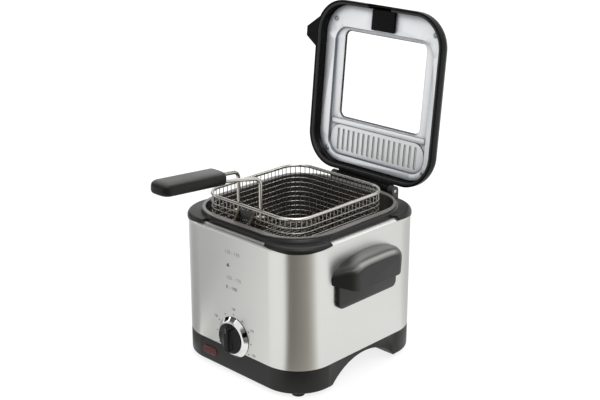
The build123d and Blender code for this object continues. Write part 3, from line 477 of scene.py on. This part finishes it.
# Printed marks: dots and heat numbers round the knob and a column of marks above it, screen-printed
# in grey on the steel. The ink lies a tenth of a millimetre proud and dries satin; some of it is pale.
ink_proud = 0.0001
ink = mottled("grey_ink", "#4b4b49", roughness=0.5, patch_mm=0.6, detail=2.0, dark="#454543",
              light="#565653")
faint = mottled("pale_ink", "#8b8b88", roughness=0.5, patch_mm=0.6, detail=2.0, dark="#7e7e7b",
                light="#9a9a97")
knob_low, knob_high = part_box("knob_skirt")
knob_middle = (knob_low + knob_high) / 2
wall_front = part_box("steel_wall")[0].y
dial_from, dial_sweep = math.radians(-30), math.radians(240)
dial_tree, given = planned("dial_dots", Float=("Ring", "Dot", "From", "Sweep"), Int=("Count",),
                           Vector=("Middle",))
arc = add(dial_tree, "GeometryNodeCurveArc", None,
          {"Resolution": given["Count"], "Radius": given["Ring"], "Start Angle": given["From"],
           "Sweep Angle": given["Sweep"]})
spot = add(dial_tree, "GeometryNodeMeshCircle", {"fill_type": "NGON"},
           {"Vertices": 16, "Radius": given["Dot"]})
spots = add(dial_tree, "GeometryNodeInstanceOnPoints", None,
            {"Points": arc.outputs[0], "Instance": spot.outputs[0]})
upright = add(dial_tree, "GeometryNodeTransform", None,
              {"Geometry": spots.outputs[0], "Translation": given["Middle"],
               "Rotation": (math.pi / 2, 0, 0)})
completed(dial_tree, upright, ink)


def dotted(name, ring, dot, count, x, z):
    """Printed dots on part of a ring about a place on the front."""
    dots = grow(name, bpy.data.meshes.new(name), dial_tree, Ring=ring, Dot=dot, From=dial_from,
                Sweep=dial_sweep, Count=count, Middle=(x, wall_front - ink_proud, z))
    settle(dots, "housing", "steel")


def printed(name, words, size_mm, material):
    """Upright numbers on the front, made one mesh with their places in it; each has text, X and Z."""
    whole = bmesh.new()
    for text, x, z in words:
        letters = bpy.data.curves.new(name + "_text", "FONT")
        letters.body = text
        letters.size = size_mm / 1000
        letters.align_x = "CENTER"
        letters.align_y = "CENTER"
        letters.resolution_u = 3
        flat = placed(name + "_text", letters)
        shape = bpy.data.meshes.new_from_object(flat.evaluated_get(bpy.context.evaluated_depsgraph_get()))
        shape.transform(Matrix.Translation((x, wall_front - ink_proud, z))
                        @ Matrix.Rotation(math.pi / 2, 4, "X"))
        whole.from_mesh(shape)
        bpy.data.objects.remove(flat)
    mesh = bpy.data.meshes.new(name)
    whole.to_mesh(mesh)
    whole.free()
    mesh.materials.append(material)
    settle(placed(name, mesh), "housing", "steel")


number_ring = 0.0350
dotted("dial_dots", ring=0.0285, dot=0.0009, count=9, x=knob_middle.x, z=knob_middle.z)
printed("dial_numbers",
        [(text, knob_middle.x + number_ring * math.cos(math.radians(turn)),
          knob_middle.z + number_ring * math.sin(math.radians(turn)))
         for text, turn in (("0", 210), ("130", 150), ("150", 90), ("170", 30), ("190", -22))],
        size_mm=4.2, material=ink)
printed("heat_numbers", [("130 - 190", -0.0004, 0.1562), ("150 - 170", 0.0012, 0.1247)],
        size_mm=6.4, material=faint)
printed("heat_marks", [("0 - 190", -0.0025, 0.1124)], size_mm=6.4, material=ink)
dotted("heat_dots", ring=0.0013, dot=0.0012, count=3, x=-0.0076, z=0.14)

# Collar: a black nylon ring between the steel and the pot, with a bumper moulded over each corner.
# Satin from the tool, it shows grey where it faces the sky and near black at its sides.
fair(moulded("satin_nylon", "#0f0f0e", roughness=0.34, grain_mm=1.1, depth_mm=0.05, edge_mm=0.8,
             shine=0.28), "top_collar")

# Pot: a drawn aluminium tub with a dark non-stick coat, sprayed and baked, so it is faintly pebbled.
# Its flange lies on the collar and takes the drain hooks, and from 186.8 mm up it is coloured a lighter
# grey; inside it stays dark.
flange_low, flange_high = 0.1868, 0.1885
pot_coat, tree, shader, place = surface("non_stick_coat", "#2b2a28", 0.34)
pebble = add(tree, "ShaderNodeTexNoise", None, {"Vector": place, "Scale": 1000 / 1.6, "Detail": 3.0})
speck = add(tree, "ShaderNodeMix", {"data_type": "RGBA"},
            {0: pebble.outputs[0], 6: linear("#242322"), 7: linear("#383633")})
dimple = add(tree, "ShaderNodeBump", None,
             {"Strength": 0.25, "Distance": 0.00006, "Height": pebble.outputs[0]})
height = add(tree, "ShaderNodeSeparateXYZ", None, {0: place})
on_flange = add(tree, "ShaderNodeMapRange", None, {0: height.outputs["Z"], 1: flange_low, 2: flange_high})
lightened = add(tree, "ShaderNodeMix", {"data_type": "RGBA"},
             {0: on_flange.outputs[0], 6: speck.outputs[2], 7: linear("#64625f")})
feed(shader, {"Coat Weight": 0.2, "Base Color": lightened.outputs[2], "Normal": dimple.outputs[0]})
fair(pot_coat, "inner_pot")


# Side handles: black nylon mouldings screwed to the wall, a plate below and an arched hood above it.
# The hood is hollow underneath for the fingers. Its faces are near black with a leather-like grain, and
# the arched top carries a painted highlight: paler, most of all round its rounded front edge, fading
# towards the ends.
def loft(name, sections):
    """A closed skin over rows of points, with a flat face at each end."""
    across = len(sections[0])
    last = (len(sections) - 1) * across
    faces = [(row + k, row + (k + 1) % across, row + across + (k + 1) % across, row + across + k)
             for row in range(0, last, across) for k in range(across)]
    faces += [tuple(range(across - 1, -1, -1)), tuple(range(last, last + across))]
    mesh = bpy.data.meshes.new(name)
    mesh.from_pydata([point for section in sections for point in section], [], faces)
    form = bmesh.new()
    form.from_mesh(mesh)
    bmesh.ops.recalc_face_normals(form, faces=form.faces)
    form.to_mesh(mesh)
    form.free()
    return mesh


def bulged(half_width, half_height, power, turn):
    """A point on a squared oval, at an angle in degrees."""
    c, s = math.cos(math.radians(turn)), math.sin(math.radians(turn))
    return (math.copysign(half_width * abs(c) ** (2 / power), c),
            math.copysign(half_height * abs(s) ** (2 / power), s))


def unit(value):
    """A share, kept between none and all."""
    return min(1.0, max(0.0, value))


def sheen_painted(material, pale):
    """Paints a highlight: lightens a moulding as far as its own sheen attribute says."""
    tree = material.node_tree
    shader = next(node for node in tree.nodes if node.type == "BSDF_PRINCIPLED")
    painted_sheen = add(tree, "ShaderNodeAttribute", {"attribute_name": "painted_sheen"})
    fresh = shader.inputs["Base Color"].links[0].from_socket
    lightened = add(tree, "ShaderNodeMix", {"data_type": "RGBA"},
                 {0: painted_sheen.outputs["Fac"], 6: fresh, 7: linear(pale)})
    feed(shader, {"Base Color": lightened.outputs[2]})
    return material


handle_low, handle_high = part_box("right_handle")
hood_out = handle_high.x - handle_low.x
hood_round = 0.0060
sheen_turn, sheen_spread = 35, 40
crown_sheen, side_sheen = 2.2, 3.0
hood_at_wall = {"half": 0.0585, "middle": 0.1385, "crown": 0.1610, "power": 1.85, "low_half": 0.0570,
                "low": 0.1320}
hood_at_face = {"half": 0.0395, "middle": 0.1395, "crown": 0.1555, "power": 3.8, "low_half": 0.0385,
                "low": 0.1245}
# Each step's last number is its share of the painted highlight, largest part way round the front edge's
# rounding.
hood_steps = [(0, 0, 0.25), (0.0055, 0, 0.35), (0.0110, 0, 0.45)]
hood_steps += [(hood_out - hood_round * (1 - math.sin(math.radians(turn))),
                hood_round * (1 - math.cos(math.radians(turn))),
                max(0.0, 1 - abs(turn - sheen_turn) / sheen_spread)) for turn in range(0, 91, 15)]
hood_sections, hood_sheen = [], []
for out, inset, polish_and_painted_sheen in hood_steps:
    share = out / hood_out
    size = {key: (1 - share) * hood_at_wall[key] + share * hood_at_face[key] for key in hood_at_wall}
    rise = size["crown"] - size["middle"]
    fall = size["low"] - size["middle"]
    outline = [bulged(size["half"], rise, size["power"], turn) for turn in range(0, 181, 4)]
    outline += [(-size["low_half"], fall), (size["low_half"], fall)]
    hood_sections.append([(handle_low.x + out, y * (1 - inset / size["half"]),
                           size["middle"] + (z * (1 - inset / rise) if z > 0 else z)) for y, z in outline])
    # Painted highlight: paler towards the top of the arch, fading towards each end.
    sheen_far, sheen_near = 2.9, 1.5 + 2.0 * share
    hood_sheen += [polish_and_painted_sheen * unit(crown_sheen * z / rise - 1.0)
                  * unit((sheen_far if y > 0 else sheen_near) - side_sheen * abs(y) / size["half"])
                  for y, z in outline]

plate_half, plate_high, plate_out, plate_r = 0.0495, 0.1410, 0.0050, 0.0070
plate_edge = 0.0012
plate_mid, plate_rise = (handle_low.z + plate_high) / 2, (plate_high - handle_low.z) / 2
plate_outline = [(side * (plate_half - plate_r) + plate_r * math.cos(math.radians(turn)),
                  edge * (plate_rise - plate_r) + plate_r * math.sin(math.radians(turn)))
                 for side, edge, first in ((1, 1, 0), (-1, 1, 90), (-1, -1, 180), (1, -1, 270))
                 for turn in range(first, first + 91, 15)]
plate_sections = [[(handle_low.x + out, y * (1 - inset / plate_half),
                    plate_mid + z * (1 - inset / plate_rise)) for y, z in plate_outline]
                  for out, inset in ((0, 0), (plate_out - plate_edge, 0),
                                     (plate_out - plate_edge / 3, plate_edge / 3), (plate_out, plate_edge))]
hollow_roof, hollow_skin = 0.143, 0.0035
hollow_sections = [[(handle_low.x + out, y, z) for y, z in ((-half, handle_low.z), (half, handle_low.z),
                                                            (half, hollow_roof), (-half, hollow_roof))]
                   for out, half in ((plate_out, 0.040), (hood_out - hollow_skin, 0.033))]

handle_nylon = sheen_painted(moulded("grained_nylon", "#0e0e0d", roughness=0.33, grain_mm=1.3, depth_mm=0.05,
                                 edge_mm=0.5, shine=0.45), "#9c9c99")
hollow = placed("finger_hollow", loft("finger_hollow", hollow_sections))
for node, hand in (("right_handle", 1), ("left_handle", -1)):
    hood = placed(node + "_moulding", loft(node + "_moulding", hood_sections))
    sheen_layer = hood.data.attributes.new("painted_sheen", "FLOAT", "POINT")
    sheen_layer.data.foreach_set("value", hood_sheen)
    scoop = hood.modifiers.new("scoop", "BOOLEAN")
    scoop.object = hollow
    scoop.operation = "DIFFERENCE"
    bake(hood)
    whole = bmesh.new()
    whole.from_mesh(hood.data)
    whole.from_mesh(loft(node + "_plate", plate_sections))
    if hand < 0:
        bmesh.ops.scale(whole, vec=(-1, 1, 1), verts=whole.verts)
        bmesh.ops.reverse_faces(whole, faces=whole.faces)
    whole.to_mesh(hood.data)
    whole.free()
    hood.data.shade_smooth()
    hood.data.set_sharp_from_angle(angle=math.radians(35))
    hood.data.materials.clear()
    hood.data.materials.append(handle_nylon)
    settle(hood, body_of[node], slot_of[node], node)
bpy.data.objects.remove(hollow)

# Hinge block: a black nylon moulding screwed to the back of the collar, which carries the lid's pin.
# It is left as it came from the tool, satin with a fine grain.
fair(moulded("hinge_nylon", "#1c1c1b", roughness=0.36, grain_mm=1.3, depth_mm=0.06, edge_mm=1.0),
     "hinge_block")

# Knob ring and hinge pin: turned brass and steel with bright chrome plate, nearly a mirror.
# The ring's cone shows the white room, broken by black where it meets the two cards.
chrome, tree, shader, place = surface("chrome_plate", "#dedede", 0.07, 1.0)
haze = add(tree, "ShaderNodeTexNoise", None, {"Vector": place, "Scale": 1000 / 8.0, "Detail": 3.0})
polish_and_painted_sheen = add(tree, "ShaderNodeMapRange", None, {0: haze.outputs[0], 3: 0.05, 4: 0.12})
feed(shader, {"Roughness": polish_and_painted_sheen.outputs[0]})
fair(chrome, "knob_skirt", "hinge_pin")

# Knob cap: a gloss black ABS disc with a grip bar across it, pushed on the thermostat's shaft.
# A thin grey line of paint in the end of the bar shows where it points.
fair(moulded("gloss_abs", "#090909", roughness=0.24, grain_mm=2.0, depth_mm=0.015, edge_mm=0.8,
             shine=0.18), "knob_cap")
cap_low, cap_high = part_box("knob_cap")
pointer_half, pointer_proud = 0.0006, 0.00002
pointer_low, pointer_high = cap_high.z - 0.0095, cap_high.z - 0.0032
pointer_mesh = bpy.data.meshes.new("knob_pointer")
pointer_mesh.from_pydata([(knob_middle.x + side * pointer_half, cap_low.y - pointer_proud, end)
                          for side, end in ((-1, pointer_low), (1, pointer_low),
                                            (1, pointer_high), (-1, pointer_high))], [], [(0, 1, 2, 3)])
pointer_mesh.materials.append(mottled("grey_paint", "#565654", roughness=0.45, patch_mm=0.8, detail=2.0,
                                      dark="#4c4c4a", light="#60605e"))
settle(placed("knob_pointer", pointer_mesh), "knob", "knob_black")

# Pilot lamp: a clear red acrylic lens snapped into the base over a small neon lamp, unlit here.
# Prisms about 2 mm wide are moulded inside it, so it looks dark with faint upright bars.
lens_red, tree, shader, place = surface("red_acrylic", "#4a191c", 0.16)
prism = add(tree, "ShaderNodeTexWave", {"bands_direction": "X"}, {"Vector": place, "Scale": 1000 / 8.0})
deep = add(tree, "ShaderNodeMix", {"data_type": "RGBA"},
           {0: prism.outputs[1], 6: linear("#3d1517"), 7: linear("#5b2124")})
facet = add(tree, "ShaderNodeBump", None, {"Strength": 0.3, "Distance": 0.0003, "Height": prism.outputs[1]})
feed(shader, {"Transmission Weight": 0.15, "Specular IOR Level": 0.3, "Base Color": deep.outputs[2],
              "Normal": facet.outputs[0]})
fair(lens_red, "pilot_lens")

# Lid shell and gate: one gloss black moulding with a knuckle for the pin, and a black roof for the rods.
# Polished tool steel leaves it almost free of grain, so it stays black beside the silver liner.
fair(moulded("gloss_black", "#070707", roughness=0.26, grain_mm=2.4, depth_mm=0.015, edge_mm=1.0,
             shine=0.12), "lid_shell", "handle_gate")

# Liner and filter cover: pressed aluminium sheet with a satin silver finish, screwed inside the lid.
# It is etched, not polished, so it spreads the light and only hints at what it faces; its pressed
# corners and steep walls carry painted shade, a grey-blue darkening set by occlusion and by how steep each
# face is.
silver, tree, shader, place = surface("satin_aluminium", "#f4f5f7", 0.44, 0.6)
press = add(tree, "ShaderNodeTexNoise", None, {"Vector": place, "Scale": 1000 / 2.0, "Detail": 2.0})
matting = add(tree, "ShaderNodeMapRange", None, {0: press.outputs[0], 3: 0.40, 4: 0.50})
edge = add(tree, "ShaderNodeBevel", {"samples": 4}, {"Radius": 0.0012})
# Painted shade: grey-blue darkening in corners and recesses, from ambient occlusion.
sunk = add(tree, "ShaderNodeAmbientOcclusion", {"samples": 8}, {"Distance": 0.013})
corner = add(tree, "ShaderNodeMapRange", None, {0: sunk.outputs["AO"], 1: 0.60, 2: 1.0})
painted_corner_shade = add(tree, "ShaderNodeMix", {"data_type": "RGBA"},
             {0: corner.outputs[0], 6: linear("#868b94"), 7: linear("#f6f7f9")})
steep_shade = add(tree, "ShaderNodeAttribute", {"attribute_name": "steep_shade"})
painted_wall_shade = add(tree, "ShaderNodeMix", {"data_type": "RGBA"},
                {0: steep_shade.outputs["Fac"], 6: painted_corner_shade.outputs[2], 7: linear("#777d87")})
feed(shader, {"Base Color": painted_wall_shade.outputs[2], "Roughness": matting.outputs[0],
              "Normal": edge.outputs[0]})
fair(silver, "lid_liner", "filter_cover")
# Painted shade: each face's share of the grey-blue grows as it turns steep.
steep_full, steep_fall = 1.15, 1.4
for pressed in ("lid_liner_faired", "filter_cover_faired"):
    pressed_mesh = bpy.data.objects[pressed].data
    lean = pressed_mesh.attributes.new("steep_shade", "FLOAT", "FACE")
    lean.data.foreach_set("value", [unit(steep_full - steep_fall * abs(face.normal.dot(inward)))
                                    for face in pressed_mesh.polygons])

# Gasket and seal: black silicone rubber, extruded and pressed into its groove round the window and rim.
# It is dull and slightly dusty. The liner's edge is rolled over the gasket's lip, so from inside only its
# sloped wall shows, a thin dark line on the sides that face the eye.
silicone = moulded("black_silicone", "#161616", roughness=0.55, grain_mm=1.5, depth_mm=0.05)
fair(silicone, "lid_seal")
lip_slope, lip_sink, lip_edge = 0.0012, 0.0026, 0.0002
wall_facing, front_facing = 0.3, 0.9
lip = welded("window_gasket")
lip_middle = sum(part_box("window_gasket"), Vector()) / 2
lip_front = max(vertex.co.dot(inward) for vertex in lip.verts)
pulled = {}
for face in lip.faces:
    to_middle = lip_middle - face.calc_center_median()
    if abs(face.normal.dot(inward)) < wall_facing and face.normal.dot(to_middle) > 0:
        for vertex in face.verts:
            pulled[vertex] = pulled.get(vertex, Vector((0, 0, 0))) + face.normal
for vertex, way in pulled.items():
    if vertex.co.dot(inward) > lip_front - lip_edge:
        vertex.co -= way.normalized() * lip_slope
    else:
        vertex.co -= inward * lip_sink
gasket_mesh = bpy.data.meshes.new("window_lip")
lip.to_mesh(gasket_mesh)
lip.free()
gasket_mesh.materials.clear()
gasket_mesh.materials.append(silicone)
gasket_mesh.materials.append(silver)
for face in gasket_mesh.polygons:
    face.material_index = 1 if face.normal.dot(inward) > front_facing else 0
settle(placed("window_lip", gasket_mesh), "lid", "gasket", "window_gasket")

# Filter pad: white-grey felt behind the slotted cover, a mat of fine fibres that takes the grease.
# Seen through the slots it is only a little darker than the cover.
dress(mottled("grey_felt", "#c2c2bf", roughness=0.95, patch_mm=0.8, detail=5.0, dark="#b0b0ad",
              light="#d6d6d2"), "filter_pad")

# Window: a pane of toughened float glass held by the gasket, clear, with a faint wave from its making.
# Nothing shows in it but the white of the room behind.
glass, tree, shader, place = surface("float_glass", "#ffffff", 0.01)
wave = add(tree, "ShaderNodeTexNoise", None, {"Vector": place, "Scale": 1000 / 60.0})
draw = add(tree, "ShaderNodeBump", None, {"Strength": 0.03, "Distance": 0.0001, "Height": wave.outputs[0]})
feed(shader, {"Transmission Weight": 1.0, "IOR": 1.5, "Normal": draw.outputs[0]})
dress(glass, "window_glass")

# Basket frame: bright plated steel wire, bent and welded: rim, foot ring, rods and their sockets.
# The plate is drawn along the wire, so its shine is broken into short lengths.
wire, tree, shader, place = surface("plated_wire", "#bdbab4", 0.18, 1.0)
drawn = add(tree, "ShaderNodeTexNoise", None, {"Vector": place, "Scale": 1000 / 5.0, "Detail": 4.0})
dull = add(tree, "ShaderNodeMapRange", None, {0: drawn.outputs[0], 3: 0.13, 4: 0.28})
feed(shader, {"Roughness": dull.outputs[0]})
fair(wire, "basket_rim", "basket_foot_ring", "handle_rods", "rod_sockets")

# Drain hooks and their plate: strip steel welded to the front of the basket, coloured a dark mottled
# grey-brown.
# They hang on the pot's edge when the basket drains, and look dark against the bright wire.
dress(mottled("dark_mottled_strip", "#6d6861", roughness=0.32, patch_mm=4.0, detail=4.0, dark="#57514a",
              light="#827d76", metallic=1.0), "drain_hooks")
dress(moulded("hook_enamel", "#1a1a19", roughness=0.35, grain_mm=1.5, depth_mm=0.03), "hook_plate")

# Basket mesh: 1 mm plated wire welded at every crossing, 6.2 mm apart, rolled to the basket's outline.
# Rows lie outside the uprights, and the floor is a flat grid of the same wire.
mesh_wire = 0.0010
mesh_pitch = 0.0062
rim_low, rim_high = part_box("basket_rim")
net_low, net_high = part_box("basket_front_net")[0].z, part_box("basket_front_net")[1].z
floor_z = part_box("basket_floor_net")[1].z
rim_wire = rim_high.z - rim_low.z
basket_w = rim_high.x - rim_low.x - rim_wire
basket_d = rim_high.y - rim_low.y - rim_wire
basket_r = 0.026
basket_middle = ((rim_low.x + rim_high.x) / 2, (rim_low.y + rim_high.y) / 2, 0)
basket_round = 2 * (basket_w + basket_d) - (8 - 2 * math.pi) * basket_r
net_tree, given = planned("basket_mesh", Int=("Rows", "Uprights", "Across", "Along"), Vector=("Middle",),
                          Float=("Width", "Depth", "Corner", "Low", "High", "Floor", "Wire", "Pitch"))


def worked(operation, a, b=0.0):
    """One step of arithmetic on the mesh's sizes."""
    return add(net_tree, "ShaderNodeMath", {"operation": operation}, {0: a, 1: b}).outputs[0]


section = add(net_tree, "GeometryNodeCurvePrimitiveCircle", None,
              {"Resolution": 6, "Radius": worked("MULTIPLY", given["Wire"], 0.5)})
square = add(net_tree, "GeometryNodeCurvePrimitiveQuadrilateral", None,
             {"Width": given["Width"], "Height": given["Depth"]})
outline = add(net_tree, "GeometryNodeFilletCurve", {"mode": "POLY"},
              {"Curve": square.outputs[0], "Count": 7, "Radius": given["Corner"], "Limit Radius": True})
row_start = add(net_tree, "ShaderNodeCombineXYZ", None, {2: given["Low"]})
row_step = add(net_tree, "ShaderNodeCombineXYZ", None, {2: given["Pitch"]})
row_places = add(net_tree, "GeometryNodeMeshLine", {"mode": "OFFSET"},
                 {"Count": given["Rows"], "Start Location": row_start.outputs[0],
                  "Offset": row_step.outputs[0]})
wider = worked("DIVIDE", worked("ADD", given["Width"], given["Wire"]), given["Width"])
deeper = worked("DIVIDE", worked("ADD", given["Depth"], given["Wire"]), given["Depth"])
outside = add(net_tree, "ShaderNodeCombineXYZ", None, {0: wider, 1: deeper, 2: 1.0})
rows = add(net_tree, "GeometryNodeInstanceOnPoints", None,
           {"Points": row_places.outputs[0], "Instance": outline.outputs[0], "Scale": outside.outputs[0]})
stops = add(net_tree, "GeometryNodeResampleCurve", None,
            {"Curve": outline.outputs[0], "Count": given["Uprights"]})
top_point = add(net_tree, "ShaderNodeCombineXYZ", None, {2: given["High"]})
low_point = add(net_tree, "ShaderNodeCombineXYZ", None, {2: given["Floor"]})
stem = add(net_tree, "GeometryNodeCurvePrimitiveLine", None,
           {"Start": low_point.outputs[0], "End": top_point.outputs[0]})
stems = add(net_tree, "GeometryNodeInstanceOnPoints", None,
            {"Points": stops.outputs[0], "Instance": stem.outputs[0]})
strands = [rows, stems]
spot_at = add(net_tree, "ShaderNodeSeparateXYZ", None,
              {0: add(net_tree, "GeometryNodeInputPosition").outputs[0]})
for count, span, reach, axis in (("Across", "Width", "Depth", 0), ("Along", "Depth", "Width", 1)):
    half_run = worked("MULTIPLY", given[span], 0.5)
    straight = worked("SUBTRACT", worked("MULTIPLY", given[reach], 0.5), given["Corner"])
    beyond = worked("MAXIMUM", worked("SUBTRACT", worked("ABSOLUTE", spot_at.outputs[1 - axis]), straight))
    left_over = worked("SUBTRACT", worked("MULTIPLY", given["Corner"], given["Corner"]),
                       worked("MULTIPLY", beyond, beyond))
    length = worked("ADD", worked("SUBTRACT", half_run, given["Corner"]),
                    worked("SQRT", worked("MAXIMUM", left_over)))
    fitted = worked("DIVIDE", length, half_run)
    run = worked("MULTIPLY", worked("SUBTRACT", given[count], 1.0), given["Pitch"])
    first = worked("MULTIPLY", run, -0.5)
    level = worked("ADD", given["Floor"], worked("MULTIPLY", given["Wire"], float(axis)))
    start = add(net_tree, "ShaderNodeCombineXYZ", None, {1 - axis: first, 2: level})
    stride = add(net_tree, "ShaderNodeCombineXYZ", None, {1 - axis: given["Pitch"]})
    places = add(net_tree, "GeometryNodeMeshLine", {"mode": "OFFSET"},
                 {"Count": given[count], "Start Location": start.outputs[0], "Offset": stride.outputs[0]})
    tip = add(net_tree, "ShaderNodeCombineXYZ", None, {axis: half_run})
    tail = add(net_tree, "ShaderNodeVectorMath", {"operation": "SCALE"}, {0: tip.outputs[0], "Scale": -1.0})
    bar = add(net_tree, "GeometryNodeCurvePrimitiveLine", None,
              {"Start": tail.outputs[0], "End": tip.outputs[0]})
    size = add(net_tree, "ShaderNodeCombineXYZ", None, {axis: fitted, 1 - axis: 1.0, 2: 1.0})
    strands.append(add(net_tree, "GeometryNodeInstanceOnPoints", None,
                       {"Points": places.outputs[0], "Instance": bar.outputs[0], "Scale": size.outputs[0]}))
gathered = add(net_tree, "GeometryNodeJoinGeometry")
for strand in strands:
    net_tree.links.new(strand.outputs[0], gathered.inputs[0])
loose = add(net_tree, "GeometryNodeRealizeInstances", None, {0: gathered.outputs[0]})
wires = add(net_tree, "GeometryNodeCurveToMesh", None,
            {"Curve": loose.outputs[0], "Profile Curve": section.outputs[0], "Fill Caps": True})
moved = add(net_tree, "GeometryNodeTransform", None,
            {"Geometry": wires.outputs[0], "Translation": given["Middle"]})
completed(net_tree, moved, wire)
basket_mesh = grow("basket_mesh", bpy.data.meshes.new("basket_mesh"), net_tree,
                   Width=basket_w, Depth=basket_d, Corner=basket_r, Low=net_low + mesh_pitch / 2,
                   High=net_high, Floor=floor_z - mesh_wire, Wire=mesh_wire, Pitch=mesh_pitch,
                   Rows=int((net_high - net_low) / mesh_pitch), Uprights=round(basket_round / mesh_pitch),
                   Across=int(basket_d / mesh_pitch), Along=int(basket_w / mesh_pitch),
                   Middle=basket_middle)
basket_mesh.data.shade_smooth()
settle(basket_mesh, "basket", "wire", "basket_front_net", "basket_back_net", "basket_right_net",
       "basket_left_net", "basket_corner_nets", "basket_floor_net")

# Grip: dark grey nylon moulded round the ends of the rods, matt with a fine grain.
# Its long edges and its free end are rounded for the hand, so light slides off them, and its top carries
# a painted highlight, a little paler than its sides.
grip_tilt = math.radians(4.2)
grip_axis = Vector((0, -math.cos(grip_tilt), math.sin(grip_tilt)))
grip_up = Vector((0, math.sin(grip_tilt), math.cos(grip_tilt)))
grip_start = Vector((0, -0.1290, 0.2525))
grip_length, grip_half, grip_rise, grip_power = 0.0880, 0.0150, 0.0080, 3.6
grip_lip, grip_end, end_flatness = 0.0015, 0.0125, 0.45
grip_steps = [(0, grip_lip, grip_lip), (grip_lip / 3, grip_lip / 3, grip_lip / 3), (grip_lip, 0, 0),
              (grip_length / 2, 0, 0)]
for turn in range(0, 91, 10):
    side_in = grip_end * (1 - math.cos(math.radians(turn)))
    grip_steps.append((grip_length - grip_end * (1 - math.sin(math.radians(turn))), side_in,
                       end_flatness * side_in))
grip_sections, grip_sheen = [], []
for along, side_in, top_in in grip_steps:
    outline = [bulged(grip_half - side_in, grip_rise - top_in, grip_power, turn)
               for turn in range(0, 360, 6)]
    grip_sections.append([grip_start + grip_axis * along + Vector((x, 0, 0)) + grip_up * z
                          for x, z in outline])
    # Painted highlight: lighter towards the top of each section.
    grip_sheen += [unit(2.5 * z / grip_rise - 1.5) for x, z in outline]
grip_mesh = loft("grip_moulding", grip_sections)
grip_sheen_layer = grip_mesh.attributes.new("painted_sheen", "FLOAT", "POINT")
grip_sheen_layer.data.foreach_set("value", grip_sheen)
grip_mesh.shade_smooth()
grip_mesh.set_sharp_from_angle(angle=math.radians(50))
grip_nylon = moulded("grip_nylon", "#0c0c0b", roughness=0.38, grain_mm=0.9, depth_mm=0.05, edge_mm=0.5,
                     shine=0.24)
grip_mesh.materials.append(sheen_painted(grip_nylon, "#484846"))
settle(placed("grip_moulding", grip_mesh), "basket", slot_of["handle_grip"], "handle_grip")
